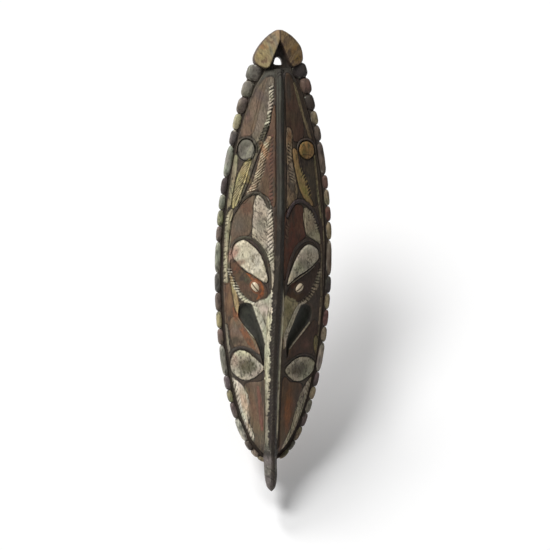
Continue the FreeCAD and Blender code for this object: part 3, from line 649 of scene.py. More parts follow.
# Rows of points from bottom to top, and columns from keel to edge, in front and behind.
ROWS, FRONT, BACK = 800, 134, 36


def half_grid(level, edge, columns):
    """Across and level of a grid that reaches from the keel to the edge."""
    return edge[:, None] * np.linspace(0, 1, columns), np.repeat(level[:, None], columns, 1)


def board_roof(across, levels, squash):
    """Depth of the plain board in front, from the ridge down to the eave at the band."""
    level = levels[:, 0]
    eave = (half_width(level) - (knob_reach(level) + BAND_WIDTH) / squash)[:, None]
    up = np.clip((eave - across) / np.maximum(eave - KEEL_FOOT, 1), 0, 1)
    rise = np.minimum((ridge_depth(levels) - EAVE_DEPTH) * up, STEEPEST * np.maximum(eave - across, 0))
    roof = EAVE_DEPTH + rise + SWELL * up * (1 - up)
    return BAND_DEPTH + (roof - BAND_DEPTH) * ramp(levels, BOARD_TOP + 1, BOARD_TOP - 14)


def carved_front(side, carve, level, edge, squash):
    """Points and paint of the front of one half, with the sunk channel inside the knobs."""
    across, levels = half_grid(level, edge, FRONT)
    f = Face(across, levels)
    f.wash((82, 70, 60), under=(66, 60, 54), worn=0.35, size=7, drawn=3)
    f.wash((84, 82, 76), ramp(f.y, 640, 662), under=(64, 60, 56), worn=0.35, size=5, drawn=2, scratch=0.15)
    carve(f)
    past_band = np.abs(beside(f.x, f.y, RIM)[1]) - knob_reach(f.y) - BAND_WIDTH
    band = ramp(past_band, 0.6, -0.6)
    f.wash((72, 63, 55), band, under=(64, 58, 54), worn=0.35, size=6, drawn=3)
    f.lift *= 1 - band
    edge_line = bell(past_band - 0.8, 0.7)
    f.wash((124, 114, 100), 0.6 * edge_line, worn=0.4, size=6)
    f.lift += 0.5 * edge_line
    channel = BAND_DEPTH - np.sin(np.clip(past_band / BAND_WIDTH + 1, 0, 1) * math.pi)
    channel -= 2.5 * ramp(past_band, -BAND_WIDTH, -BAND_WIDTH - 2)
    depth = board_roof(across, levels, squash).ravel() * (1 - band) + channel * band + f.lift
    depth += 0.25 * rough_noise(f.x + side * 300, f.y, 14, 5)
    # The front's paint gets painted shade in its hollows and painted highlight on its proud edges, over grime
    # and wear.
    return place(side * f.x, np.maximum(depth, 3), f.y), grime_wear_shade_and_highlight(f, across.shape)


def adzed_back(side, level, edge):
    """Points and paint of the back of one half: a flat rim, and a hollow cut with an adze."""
    across, levels = half_grid(level, edge, BACK)
    mouth = np.maximum(half_width(level) - BACK_RIM, 5)[:, None]
    deepest = (ridge_depth(levels) - WALL) * ramp(levels, 92, 122) * ramp(levels, 636, 606)
    hollow = deepest * np.clip(1 - across / mouth, 0, 1) ** 0.85
    facets = np.abs(rough_noise(across * 1.2, levels * 0.45, 9, 40 + side))
    hollow += 1.2 * (facets - 0.5) * ramp(hollow, 0.5, 5)
    # Deeper in the hollow the wood is painted darker: painted shade, partly smoke too. The adze facets vary
    # its tone.
    facet_tone_smoke_and_shade = (0.8 + 0.3 * facets) * (1 - 0.45 * ramp(hollow, 3, 26))
    paint = raw_wood(across, levels) * facet_tone_smoke_and_shade.reshape(-1, 1)
    return place(side * across, np.maximum(hollow, 0), levels), paint


def build_half(side, name, carve, material):
    """One half of the board, closed along the keel, the edge and both ends."""
    level = np.linspace(BOARD_BOTTOM, BOARD_TOP, ROWS)
    squash = 1 / np.sqrt(1 + np.gradient(half_width(level), level) ** 2)
    edge = half_width(level) - UNDER_KNOBS / squash
    front, front_paint = carved_front(side, carve, level, edge, squash)
    rear, rear_paint = adzed_back(side, level, edge)
    start = len(front)
    faces = grid_faces(ROWS, FRONT) + grid_faces(ROWS, BACK, start, flip=True)
    for i in range(ROWS - 1):
        for a, b in ((0, 0), (FRONT - 1, BACK - 1)):
            before, behind = i * FRONT + a, start + i * BACK + b
            faces.append([before, before + FRONT, behind + BACK, behind])
    for i in (0, ROWS - 1):
        front_row = range(i * FRONT, (i + 1) * FRONT)
        rear_row = range(start + i * BACK, start + (i + 1) * BACK)
        faces.append([*front_row, *reversed(rear_row)])
    rough = np.repeat((0.62, 0.75), (len(front), len(rear)))
    solid(name, np.vstack([front, rear]), faces, material, np.vstack([front_paint, rear_paint]), rough)


# ---------------------------------------------------------------- keel, nose and beak

# How far the keel strays from straight, its half widths at the foot and the crest, how far forward it
# stands, where its painted flank ends, and how far forward the back of the free beak is.
keel_drift = smooth_through((0, 60, 112, 224, 300, 360, 670), (0, -2, -3, -4, -2, 0, 0))
keel_foot = smooth_through(
    (0, 5, 14, 46, 120, 220, 290, 345, 450, 560, 640, 670),
    (3.2, 6, 8.5, 10.5, 12.5, 15, 15.5, 11.5, 10.5, 10.2, 10, 8),
)
keel_front = smooth_through(
    (0, 5, 14, 46, 120, 220, 300, 345, 450, 560, 640, 670),
    (34, 38.5, 42.5, 48.5, 56.5, 66.5, 70.5, 69.5, 63.5, 52, 43.5, 35),
)
keel_crest = smooth_through(
    (0, 14, 46, 120, 220, 300, 345, 450, 670),
    (1.5, 3.5, 4.5, 4.2, 4.6, 4.5, 2.6, 1.4, 1.2),
)
keel_flank = smooth_through((50, 75, 120, 180, 240, 300, 320), (5.2, 5.8, 6.6, 7.6, 8.6, 9.4, 9.6))
beak_back = smooth_through((0, 5, 14, 30, 46, 60), (27, 21.5, 17, 13.5, 9, 4))


def paint_keel(f):
    """A sooty crest, grey above and brown on the beak, with a pale line down each flank."""
    x, y, off = f.x, f.y, np.abs(f.x)
    left, past_flank = x < 0, off - keel_flank(y)
    f.wash((52, 46, 40), under=(86, 78, 68), worn=0.25, size=4, drawn=3)
    upper = ramp(y, 425, 450)
    f.wash((79, 78, 70), upper, under=(66, 63, 56), worn=0.4, size=2.5, drawn=18, scratch=0.15)
    beak = ramp(y, 62, 48)
    f.wash((75, 68, 61), beak, under=(56, 50, 45), worn=0.4, size=4, drawn=3)
    # The beak's left side is painted lighter: a painted highlight on the side the light falls on.
    f.wash((124, 118, 112), 0.8 * beak * ramp(x, 2, -3), under=(88, 83, 77), worn=0.4, size=4, drawn=3)
    flecks = ramp(noise(x, y / 1.6, 1.8, 36) + 0.6 * noise(x, y, 6, 37), 0.55, 0.85)
    f.wash((190, 184, 170), 0.35 * flecks * ramp(off, 1.5, 4) * ramp(y, 110, 70), worn=0.2)
    # two grooves that arch over the top end
    arch = np.hypot(off, np.maximum(y - 655, 0) * 0.62)
    for reach in (3.6, 6.4):
        cut = bell(arch - reach, 0.55) * upper
        f.lift -= 0.9 * cut
        f.wash(SOOT, 0.7 * cut, worn=0)
    # the left line, with a chipped inner edge
    chips = 1.1 * np.abs((y / 5.2 + 0.7 * noise(x, y, 9, 31)) % 1 * 2 - 1) + 1.8 * noise(x, y, 3, 32)
    narrower = 1.6 * ramp(y, 190, 120) + 1.8 * ramp(y, 300, 345) - 1.0
    stripe = ramp(past_flank - narrower - chips, -0.6, 0.6) * left
    stripe *= ramp(y, 58, 90) * ramp(y, 392, 350) * (1 - 0.5 * ramp(y, 138, 122))
    f.wash((228, 221, 194), stripe, under=(126, 122, 98), worn=0.38, size=2.6, drawn=5, scratch=0.45)
    outer = bell(past_flank - 5.0 + 1.2 * noise(x, y, 4, 35), 1.4) * left
    f.wash((110, 104, 88), 0.45 * outer * ramp(y, 90, 110) * ramp(y, 320, 290), worn=0.3)
    f.wash((120, 114, 98), 0.5 * stripe * ramp(y, 200, 130), worn=0.4, drawn=6)
    # small slanting cuts beside the crest
    ticks = ramp(0.45 - np.abs(((y + 1.2 * off) / 5.6 + 0.2 * noise(x, y, 9, 33)) % 1 * 2 - 1), -0.15, 0.15)
    ticks *= ramp(1.3 - np.abs(past_flank + 4.2), -0.5, 0.5) * ramp(y, 90, 110) * ramp(y, 330, 300)
    f.wash((160, 150, 130), 0.22 * ticks, worn=0.5)
    f.lift -= 0.4 * ticks
    # the right line, slightly raised
    broad = ramp(y, 105, 150)
    fillet = bell(past_flank - 1.5 - 0.7 * broad + 0.5 * noise(x, y, 12, 34), 1.9 + 1.1 * broad)
    fillet *= ~left * ramp(y, 80, 100) * ramp(y, 330, 310)
    f.wash((238, 228, 196), np.minimum(1.3 * fillet, 1), under=(150, 134, 108), worn=0.25, size=5, drawn=3,
           scratch=0.15)
    f.lift += 0.5 * fillet + 0.25 * rough_noise(x, y / 3, 5, 77)
    for notch in (20.5, 34, 116):
        f.lift -= bell(y - notch + 0.5 * x, 1.4) * (x < 2)


def build_keel(material):
    """One long tube: the ridge sunk into the board above, and the free beak below."""
    front_columns, back_columns = 63, 15
    width = front_columns + back_columns
    level = np.concatenate([np.linspace(0.3, 30, 60), np.linspace(30.7, 671, 820)])
    tip = np.sqrt(np.clip(1 - (1 - np.clip(level / 9, 0, 1)) ** 2, 0, 1))
    foot, crest, top = keel_foot(level) * tip, keel_crest(level) * tip, keel_front(level)
    on_board = ramp(level, 50, 75)
    free_base = beak_back(level) + 0.42 * (top - beak_back(level))
    base = free_base * (1 - on_board) + (ridge_depth(level) - 6) * on_board
    across = foot[:, None] * np.linspace(-1, 1, front_columns)
    down = np.clip((np.abs(across) - crest[:, None] * 0.55) / (foot - crest * 0.55)[:, None], 0, 1)
    rounded = ramp(level, 60, 10)[:, None]
    shape = (1 - down ** (1.15 + 0.9 * rounded)) ** (1 - 0.4 * rounded)
    f = Face(across, np.repeat(level[:, None], front_columns, 1))
    paint_keel(f)
    depth = base[:, None] + (top - base)[:, None] * shape + f.lift.reshape(across.shape)
    turn = np.linspace(1, -1, back_columns + 2)[1:-1]
    rear = np.where(level < 60, beak_back(level), 0) * (1 - on_board) + (ridge_depth(level) - 10) * on_board
    back_depth = base[:, None] - (base - rear)[:, None] * np.sqrt(1 - turn**2) ** 0.8
    ring_across = np.hstack([across, foot[:, None] * turn]) + keel_drift(level)[:, None]
    ring_depth = np.minimum(np.hstack([depth, back_depth]), KEEL_LIMIT)
    points = place(ring_across, ring_depth, np.repeat(level[:, None], width, 1))
    faces = grid_faces(len(level), width, wrap=True)
    faces += [list(range(width)), list(range((len(level) - 1) * width, len(level) * width))]
    paint = np.tile(linear((84, 72, 60)), (len(level), width, 1))
    # The keel's front paint gets painted shade in its hollows and painted highlight on its proud edges, over
    # grime and wear.
    paint[:, :front_columns] = grime_wear_shade_and_highlight(f, across.shape).reshape(*across.shape, 3)
    solid("keel_and_beak", points, faces, material, paint.reshape(-1, 3), 0.55, sharp=60)


# ---------------------------------------------------------------- knobs round the rim

# The levels where one knob ends and the next begins, and their paints, from the top down.
KNOB_ENDS = {
    -1: (682, 655, 628, 601, 575, 550, 498, 471, 446, 420, 395, 345, 314, 284, 256, 230, 181, 158, 138, 112,
         76, 61, 50, 43),
    1: (688, 663, 637, 610, 587, 561, 507, 484, 457, 432, 402, 344, 316, 290, 262, 237, 189, 165, 144, 122,
        100, 77, 62, 48),
}
KNOB_PAINT = {
    -1: ((106, 101, 96), (116, 113, 106), (106, 94, 90), (188, 178, 138), (96, 88, 86), (158, 160, 152),
         (80, 71, 77), (140, 144, 126), (158, 155, 120), (104, 88, 85), (160, 166, 146), (92, 90, 88),
         (104, 90, 84), (182, 172, 122), (112, 94, 90), (158, 158, 148), (98, 84, 94), (152, 152, 112),
         (110, 92, 96), (214, 216, 210), (88, 78, 70), (166, 148, 130), (150, 140, 110)),
    1: ((58, 50, 52), (112, 86, 74), (62, 52, 48), (142, 128, 98), (88, 74, 66), (98, 82, 72), (104, 76, 68),
        (142, 126, 98), (112, 64, 56), (142, 124, 92), (112, 96, 80), (60, 56, 54), (142, 128, 96),
        (104, 66, 62), (130, 112, 98), (132, 124, 112), (92, 76, 78), (136, 122, 96), (120, 112, 102),
        (92, 74, 76), (150, 136, 104), (92, 88, 86), (150, 144, 108)),
}
KNOB_RINGS, KNOB_SIDES = 19, 32
# The depth of a knob's middle, the gap round it, and the half length from which it is squarer.
KNOB_MIDDLE, KNOB_GAP, LONG_KNOB = 7.6, 0.2, 18


def run_along(path):
    """Distance of each point along a path."""
    return np.concatenate([[0], np.cumsum(np.hypot(*np.diff(path, axis=0).T))])


RIM_RUN = run_along(RIM)


def rim_at(run):
    """The point of the rim at a distance along it."""
    return np.array([np.interp(run, RIM_RUN, RIM[:, i]) for i in (0, 1)])


def rim_bend(run, span=15):
    """How sharply the rim bends inwards there, in 1/mm."""
    before, here, after = rim_at(run - span), rim_at(run), rim_at(run + span)
    step = (after - before) / np.hypot(*(after - before))
    return -float(np.dot((before + after - 2 * here) / span**2, (-step[1], step[0])))


def knob_points(side, k, start, end, rng):
    """Rings round knob k, from its front to its back: a squared pillow, bent to follow the rim."""
    middle = (start + end) / 2
    step = rim_at(middle + 2) - rim_at(middle - 2)
    tangent = step / np.hypot(*step)
    outward = np.array([-tangent[1], tangent[0]])
    reach = np.interp(k, (0, 1, 2, 3, 5, 8, 17, 20, 22), (26, 19, 17, 12.5, 11, 9.5, 9, 8.5, 7))
    reach += rng.uniform(-0.6, 0.7)
    thick = np.interp(k, (0, 3), (9.5, 7.1)) + rng.uniform(-0.3, 0.2)
    slip = rng.uniform(-0.35, 0.25)
    long, wide = (end - start) / 2 - KNOB_GAP, reach / 2
    around = np.linspace(0, 2 * math.pi, KNOB_SIDES, endpoint=False)
    c, s = np.cos(around), np.sin(around)
    along = np.sign(c) * np.abs(c) ** (0.62 if long < LONG_KNOB else 0.5) * long
    aside = np.sign(s) * np.abs(s) ** 0.8 * wide
    rings = []
    for p in np.linspace(0, math.pi, KNOB_RINGS):
        out = math.sin(p) ** 0.62
        up = math.copysign(abs(math.cos(p)) ** 0.85, math.cos(p))
        bend = -0.5 * (along * out) ** 2 * rim_bend(middle)
        spot = rim_at(middle) + np.outer(along * out, tangent)
        spot = spot + np.outer(aside * out - wide + slip + bend, outward)
        shake = 0.35 * noise(spot[:, 0] + 40 * k, spot[:, 1], 6, 60 + side)
        depth = np.maximum(KNOB_MIDDLE + up * (thick + shake), KNOB_GAP)
        rings.append(np.column_stack([spot[:, 0] + shake * 0.5, depth, spot[:, 1]]))
    return np.vstack(rings)


def knob_paint(side, k, points):
    """Worn paint in front with pale chips round its edge, partly wear and partly a painted highlight, and
    dark wood behind.
    """
    f = Face(points[:, 0], points[:, 2])
    f.film = 1.12
    colour = np.array(KNOB_PAINT[side][k])
    colour = (0.64 * colour + 0.36 * colour.mean()) * (1.02, 1, 0.94) * (0.88 if colour.mean() > 125 else 1)
    under = colour * (0.6 if colour.mean() > 130 else 0.7)
    f.wash(colour, under=under, worn=0.45, size=5, drawn=2, scratch=0.45)
    rise = np.repeat(np.cos(np.linspace(0, math.pi, KNOB_RINGS)), KNOB_SIDES)
    chips = ramp(noise(f.x + 40 * k, f.y, 2.2, 64) - 3 * np.abs(rise - 0.55), 0.15, 0.5)
    # Pale chips on the shoulder round the front: partly wear and partly a painted highlight.
    f.wash((204, 200, 184), 0.6 * chips, worn=0.3)
    f.wash((74, 64, 56), 1 - ramp(rise, -0.2, 0.3), worn=0.3)
    return f.paint


def build_knobs(side, name, material):
    """The knobs down one side, each a closed solid that meets the next."""
    rng = np.random.default_rng(21 + side)
    ends = np.interp(KNOB_ENDS[side], rim_levels[::-1], RIM_RUN[::-1])
    points, paint, faces = [], [], []
    for k, (start, end) in enumerate(zip(ends, ends[1:])):
        points.append(knob_points(side, k, start, end, rng))
        paint.append(knob_paint(side, k, points[-1]))
        faces += grid_faces(KNOB_RINGS, KNOB_SIDES, start=k * KNOB_RINGS * KNOB_SIDES, wrap=True)
    across, depth, level = np.vstack(points).T
    points = place(side * across, depth, level)
    points[:, 0] = np.clip(points[:, 0], cad_low.x, cad_high.x)
    solid(name, points, faces, material, np.vstack(paint), 0.6, sharp=70)


# ---------------------------------------------------------------- finial

LEFT_LOBE = ((0.6, 735), (-4.5, 735), (-17.6, 725.5), (-29.4, 712), (-37.4, 698), (-39.8, 689), (-38, 681),
             (-31, 675.5), (-22, 672), (-15.5, 673.5), (-12, 681), (-8, 693), (-3, 706), (0.6, 718))
RIGHT_LOBE = ((-0.6, 735), (4.5, 735), (19.3, 727.5), (30.3, 718), (37.2, 708), (40.3, 694), (38.5, 685),
              (31, 679.5), (23.5, 676.5), (18.5, 680), (14, 688), (9.5, 698), (4, 709), (-0.6, 718))
HOLE = ((-6, 680.2), (6, 680.2), (6.4, 685), (4.6, 690), (0, 692.6), (-4.6, 690), (-6.4, 685))
# NECK is the depth of the finial's front round the lobes, and PITCH the size of its triangles.
FINIAL_TOP, NECK, PITCH = 734.9, 13.0, 0.9


def finial_loop(points):
    """A smooth closed outline through points, no higher than the finial's top."""
    return np.minimum(through(points, closed=True, per_span=6), (99, FINIAL_TOP))


def resampled(loop, step):
    """A closed outline with points about step apart."""
    closed = np.vstack([loop, loop[0]])
    run = run_along(closed)
    at = np.linspace(0, run[-1], int(run[-1] / step), endpoint=False)
    return np.column_stack([np.interp(at, run, closed[:, i]) for i in (0, 1)])


def filled(outer, hole):
    """Points and triangles of even size that fill an outline round a hole."""
    xs, ys = np.meshgrid(np.arange(-41, 42, PITCH), np.arange(663, 736, PITCH))
    xs += PITCH / 2 * (np.arange(len(xs)) % 2)[:, None]
    xs, ys = xs.ravel(), ys.ravel()
    keep = (inside(xs, ys, outer) > 0.6) & (inside(xs, ys, hole) < -0.6)
    fine_outer, fine_hole = resampled(outer, PITCH), resampled(hole, PITCH)
    flat = np.vstack([fine_outer, fine_hole, np.column_stack([xs[keep], ys[keep]])])
    n, m = len(fine_outer), len(fine_hole)
    edges = [(i, (i + 1) % n) for i in range(n)] + [(n + i, n + (i + 1) % m) for i in range(m)]
    made = delaunay_2d_cdt([Vector(p) for p in flat], edges, [], 1, 1e-6)
    flat = np.array([tuple(v) for v in made[0]])
    x, y = np.array([flat[list(t)].mean(0) for t in made[2]]).T
    wanted = (inside(x, y, outer) > 0) & (inside(x, y, hole) < 0)
    return flat, [list(t) for t, ok in zip(made[2], wanted) if ok]


def paint_finial(f, lobe_left, lobe_right, lobe):
    """Two mottled ochre lobes, on a dark neck."""
    f.wash((70, 64, 58), worn=0.3)
    f.wash((184, 161, 122), ramp(lobe_left, 0, 1.2), under=(144, 116, 90), worn=0.35, size=7, drawn=2,
           lean=0.4, scratch=0.2)
    f.wash((166, 140, 104), ramp(lobe_right, 0, 1.2), under=(112, 92, 76), worn=0.45, drawn=2, lean=-0.4)
    for middle, wide, tall, colour in (
        ((-6, 712), 3, 16, (158, 152, 140)),
        ((-14, 700), 3, 14, (150, 146, 134)),
        ((-26, 706), 8, 5, (196, 140, 96)),
        ((-30, 692), 9, 7, (196, 170, 116)),
        ((-12, 722), 6, 5, (176, 160, 134)),
        ((10, 716), 6, 9, (104, 88, 80)),
        ((15, 697), 4, 10, (100, 84, 74)),
        ((24, 704), 5, 9, (176, 132, 78)),
        ((30, 690), 6, 7, (170, 144, 74)),
        ((33, 708), 5, 6, (112, 96, 78)),
    ):
        f.blotch(middle, wide, tall, colour, lean=0.3 if middle[0] < 0 else -0.3)
    f.wash((88, 72, 64), 0.8 * bell(lobe - 0.4, 1.3), worn=0.2)
    f.wash((64, 54, 50), 0.8 * bell(f.x, 1.3) * ramp(f.y, 714, 720), worn=0.1)


def build_finial(material):
    """The finial: a front and a back of the same triangles, and a wall between them."""
    left, right, hole = finial_loop(LEFT_LOBE), finial_loop(RIGHT_LOBE), finial_loop(HOLE)
    outer = finial_loop([*LEFT_LOBE[1:10], (-24, 664), (25, 664), *reversed(RIGHT_LOBE[1:10])])
    flat, triangles = filled(outer, hole)
    x, y = flat.T
    lobe_left, lobe_right = inside(x, y, left), inside(x, y, right)
    lobe = np.maximum(lobe_left, lobe_right)
    lobe = np.where((np.abs(x) < 4) & (y > 717), np.maximum(lobe, np.minimum(735 - y, 6)), lobe)
    tent = 31.5 - 0.36 * np.abs(x) - 0.1 * np.maximum(y - 705, 0)
    rounded = np.sqrt(1 - (1 - np.clip(lobe / 3.2, 0, 1)) ** 2)
    height = NECK + (tent - 4 - NECK) * ramp(lobe, -0.4, 1.0) + 4 * rounded * (lobe > 0)
    f = Face(x, y)
    paint_finial(f, lobe_left, lobe_right, lobe)
    f.lift += 0.35 * rough_noise(x, y, 8, 91) - 0.6 * bell(np.abs(x) - 1.4, 0.9) * ramp(y, 716, 722)
    depth = np.clip(height + f.lift, 4, 60)
    edge = np.minimum(inside(x, y, outer), -inside(x, y, hole))
    whittled = np.abs(rough_noise(1.2 * x, 0.45 * y, 9, 55))
    back = 1.5 * (1 - ramp(edge, 0, 2.0)) + 2.5 * ramp(y, 676.2, 675.2) + 1.2 * whittled * ramp(edge, 0.5, 3)
    n = len(flat)
    faces = triangles + [[n + i for i in reversed(t)] for t in triangles]
    sides = dict.fromkeys((a, b) for t in triangles for a, b in zip(t, t[1:] + t[:1]))
    faces += [[b, a, n + a, n + b] for a, b in sides if (b, a) not in sides]
    bare = raw_wood(x, y, (104, 82, 62)) * (0.8 + 0.3 * whittled[:, None])
    points = np.vstack([place(x, depth, y), place(x, back, y)])
    solid("finial", points, faces, material, np.vstack([f.paint, bare]))


# ---------------------------------------------------------------- eyes

EYE_ACROSS, EYE_LEVEL = 35, 324
BED_LONG, BED_WIDE, BED_BOTTOM = 14.5, 10.5, -6
SHELL_LONG, SHELL_WIDE, SHELL_HIGH = 8.3, 5.6, 4.3


def roof_point(across, level):
    """Depth of the plain board at one point of a cheek."""
    eave = float(half_width(level) - knob_reach(level)) - BAND_WIDTH
    up = (eave - across) / (eave - KEEL_FOOT)
    return EAVE_DEPTH + (float(ridge_depth(level)) - EAVE_DEPTH) * up + SWELL * up * (1 - up)


def eye_axes(side, tilt):
    """The middle of an eye, and its three directions: along the shell, across it, and out."""
    here = roof_point(EYE_ACROSS, EYE_LEVEL)
    aside = Vector((side, here - roof_point(EYE_ACROSS + 1, EYE_LEVEL), 0)).normalized()
    upward = Vector((0, here - roof_point(EYE_ACROSS, EYE_LEVEL + 1), 1)).normalized()
    out = aside.cross(upward).normalized()
    if out.y > 0:
        out = -out
    upward = (upward - out * upward.dot(out)).normalized()
    aside = (aside - out * aside.dot(out)).normalized()
    angle = math.radians(tilt)
    long = (aside * math.cos(angle) + upward * math.sin(angle)).normalized()
    wide = out.cross(long).normalized()
    centre = place(np.array(side * EYE_ACROSS), np.array(here), np.array(EYE_LEVEL))[0]
    return centre, np.array([long, wide, out])


def set_in(axes, points):
    """Millimetres from the middle of an eye as points of the shared frame, in metres."""
    centre, directions = axes
    return np.asarray(points) / 1000 @ directions + centre


def build_bed(side, name, axes, material):
    """The putty bed of one eye, pressed up in a ring round the shell."""
    turn = np.linspace(0, 2 * math.pi, 64, endpoint=False)
    shake = 1 + 0.05 * np.sin(3 * turn + side) + 0.03 * np.sin(7 * turn)

    def oval(scale, height):
        long, wide = BED_LONG * scale * np.cos(turn), BED_WIDE * scale * np.sin(turn)
        return np.column_stack([long, wide, np.full(len(turn), height)])

    rings = np.linspace(0, 1, 18)[1:]
    heights = 1.7 * np.sqrt(1 - rings**6) - 2.6 + 1.4 * bell(rings - 0.55, 0.22)
    points = [(0, 0, -0.8), *np.vstack([oval(r * shake, height) for r, height in zip(rings, heights)])]
    points += [*oval(1, BED_BOTTOM), (0, 0, BED_BOTTOM)]
    k, n = len(turn), len(rings)
    last = 1 + n * k
    faces = [[0, 1 + j, 1 + (j + 1) % k] for j in range(k)]
    faces += grid_faces(n + 1, k, start=1, wrap=True)
    faces += [[last + (j + 1) % k, last + j, last + k] for j in range(k)]
    solid(f"eye_putty_{name}_look", set_in(axes, points), faces, material, stands_for=f"eye_putty_{name}")


def build_shell(name, axes, material):
    """A money cowrie with its slit outwards, ribbed along both lips."""
    rows, columns = 49, 64
    p = np.linspace(0, math.pi, rows)[:, None]
    t = np.linspace(0, 2 * math.pi, columns, endpoint=False)
    fullness = np.sin(p) ** 0.8 * (1 - 0.12 * np.cos(p))
    x = -SHELL_LONG * np.cos(p) + 0 * t
    y, z = SHELL_WIDE * fullness * np.cos(t), SHELL_HIGH * fullness * np.sin(t)
    off_slit = np.abs(y - 0.35 * np.sin(x * 0.3))
    slit = 1.9 * bell(off_slit, 0.75) * np.minimum(1, fullness * 1.3)
    ribs = 0.35 * (0.5 + 0.5 * np.sin(x * 4.6)) * bell(off_slit - 1.1, 0.7) * fullness
    z = np.where(z > 0, 0.86 * z - slit + ribs, z) + 0.5
    front = z > 0.6
    dirt = (0.35 * bell(off_slit, 2.2) * front).reshape(-1, 1)
    # The slit is painted near black: painted shade for the shaded inside of the opening, which the shallow
    # groove does not show.
    dark = (np.exp(-((off_slit / 0.8) ** 4)) * front).reshape(-1, 1)
    paint = linear((214, 197, 168)) * (1 - dirt) + linear((160, 132, 98)) * dirt
    paint = paint * (1 - dark) + linear((52, 38, 28)) * dark
    points = set_in(axes, np.stack([x, y, z], -1).reshape(-1, 3))
    solid(f"cowrie_{name}_look", points, grid_faces(rows, columns, wrap=True), material, paint, 0.3, sharp=70,
          stands_for=f"cowrie_{name}")


# ---------------------------------------------------------------- materials


def new_material(name):
    """A material, with a function that adds a node and gives one of its outputs, and another that
    fills the sockets of its shader."""
    material = bpy.data.materials.new(name)
    material.use_nodes = True
    tree = material.node_tree

    def fill(values, node=tree.nodes["Principled BSDF"]):
        for socket, value in values.items():
            if isinstance(value, bpy.types.NodeSocket):
                tree.links.new(value, node.inputs[socket])
            else:
                node.inputs[socket].default_value = value

    def add(kind, output, values=None, **settings):
        node = tree.nodes.new("ShaderNode" + kind)
        for key, value in settings.items():
            setattr(node, key, value)
        fill(values or {}, node)
        return node.outputs[output]

    return material, add, fill


def painted_wood():
    """Matt earth paints over a brushed wood grain, with small worn specks and a fine tooth."""
    material, add, fill = new_material("painted_wood")
    here = add("TexCoord", "Object")
    along_grain = add("Mapping", "Vector", {"Vector": here, "Scale": (1.0, 1.0, 0.12)})
    grain = add("TexNoise", "Fac", {"Vector": along_grain, "Scale": 900.0, "Detail": 3.0, "Roughness": 0.6})
    specks = add("TexNoise", "Fac", {"Vector": here, "Scale": 420.0, "Detail": 4.0, "Roughness": 0.7})
    paint = add("Attribute", "Color", attribute_name="paint")
    matt = add("Attribute", "Fac", attribute_name="matt")

    def spread(value, low, high, least, most):
        limits = {"From Min": low, "From Max": high, "To Min": least, "To Max": most}
        return add("MapRange", "Result", {"Value": value, **limits})

    tone = spread(grain, 0.3, 0.7, 0.76, 1.22)
    toned = add("VectorMath", "Vector", {0: paint, 1: tone}, operation="MULTIPLY")
    bare = spread(specks, 0.6, 0.7, 0.0, 0.55)
    worn = add("Mix", 2, {"Factor": bare, 6: toned, 7: (0.085, 0.06, 0.042, 1)}, data_type="RGBA")
    shine = spread(specks, 0.35, 0.65, -0.07, 0.07)
    rough = add("Math", "Value", {0: matt, 1: shine}, operation="ADD")
    relief = add("Math", "Value", {0: grain, 1: specks}, operation="ADD")
    bump = add("Bump", "Normal", {"Height": relief, "Strength": 0.5, "Distance": 0.0008})
    fill({"Base Color": worn, "Roughness": rough, "Specular IOR Level": 0.22, "Normal": bump})
    return material


def putty(name, low, high):
    """Painted clay, pressed round the shell by hand."""
    material, add, fill = new_material(name)
    cloud = add("TexNoise", "Fac", {"Vector": add("TexCoord", "Object"), "Scale": 160.0, "Detail": 4.0})
    share = add("MapRange", "Result", {"Value": cloud, "From Min": 0.35, "From Max": 0.65})
    ends = {6: (*linear(low), 1), 7: (*linear(high), 1)}
    colour = add("Mix", 2, {"Factor": share, **ends}, data_type="RGBA")
    bump = add("Bump", "Normal", {"Height": cloud, "Strength": 0.4, "Distance": 0.0008})
    fill({"Base Color": colour, "Roughness": 0.8, "Normal": bump})
    return material


def shell():
    """A money cowrie worn to a dull gloss."""
    material, add, fill = new_material("cowrie_shell")
    cloud = add("TexNoise", "Fac", {"Vector": add("TexCoord", "Object"), "Scale": 300.0, "Detail": 3.0})
    limits = {"From Min": 0.3, "From Max": 0.7, "To Min": 0.9, "To Max": 1.05}
    tone = add("MapRange", "Result", {"Value": cloud, **limits})
    paint = add("Attribute", "Color", attribute_name="paint")
    toned = add("VectorMath", "Vector", {0: paint, 1: tone}, operation="MULTIPLY")
    rough = add("MapRange", "Result", {"Value": cloud, "To Min": 0.2, "To Max": 0.45})
    fill({"Base Color": toned, "Roughness": rough})
    return material


def backdrop_paper(name, one_sided):
    """Pale paper that glows a little, clear from behind where it is one-sided."""
    material, add, fill = new_material(name)
    fill({"Base Color": (0.9, 0.9, 0.9, 1), "Roughness": 0.9, "Specular IOR Level": 0.1})
    fill({"Emission Color": (1, 1, 1, 1), "Emission Strength": GLOW})
    if one_sided:
        nodes = material.node_tree.nodes
        behind, clear = add("NewGeometry", "Backfacing"), add("BsdfTransparent", "BSDF")
        mix = add("MixShader", "Shader", {0: behind, 1: nodes["Principled BSDF"].outputs["BSDF"], 2: clear})
        fill({"Surface": mix}, nodes["Material Output"])
    return material


# ---------------------------------------------------------------- build

wood, cowrie = painted_wood(), shell()
build_half(-1, "face_left", carve_left, wood)
build_half(1, "face_right", carve_right, wood)
build_keel(wood)
build_knobs(-1, "rim_knobs_left", wood)
build_knobs(1, "rim_knobs_right", wood)
build_finial(wood)
for side, name, tilt, bed in (
    (-1, "left", 52, putty("orange_putty", (98, 66, 48), (136, 84, 50))),
    (1, "right", 38, putty("dark_putty", (58, 46, 36), (78, 60, 46))),
):
    build_bed(side, name, eye_axes(side, tilt), bed)
    build_shell(name, eye_axes(side, tilt), cowrie)

# ---------------------------------------------------------------- stage

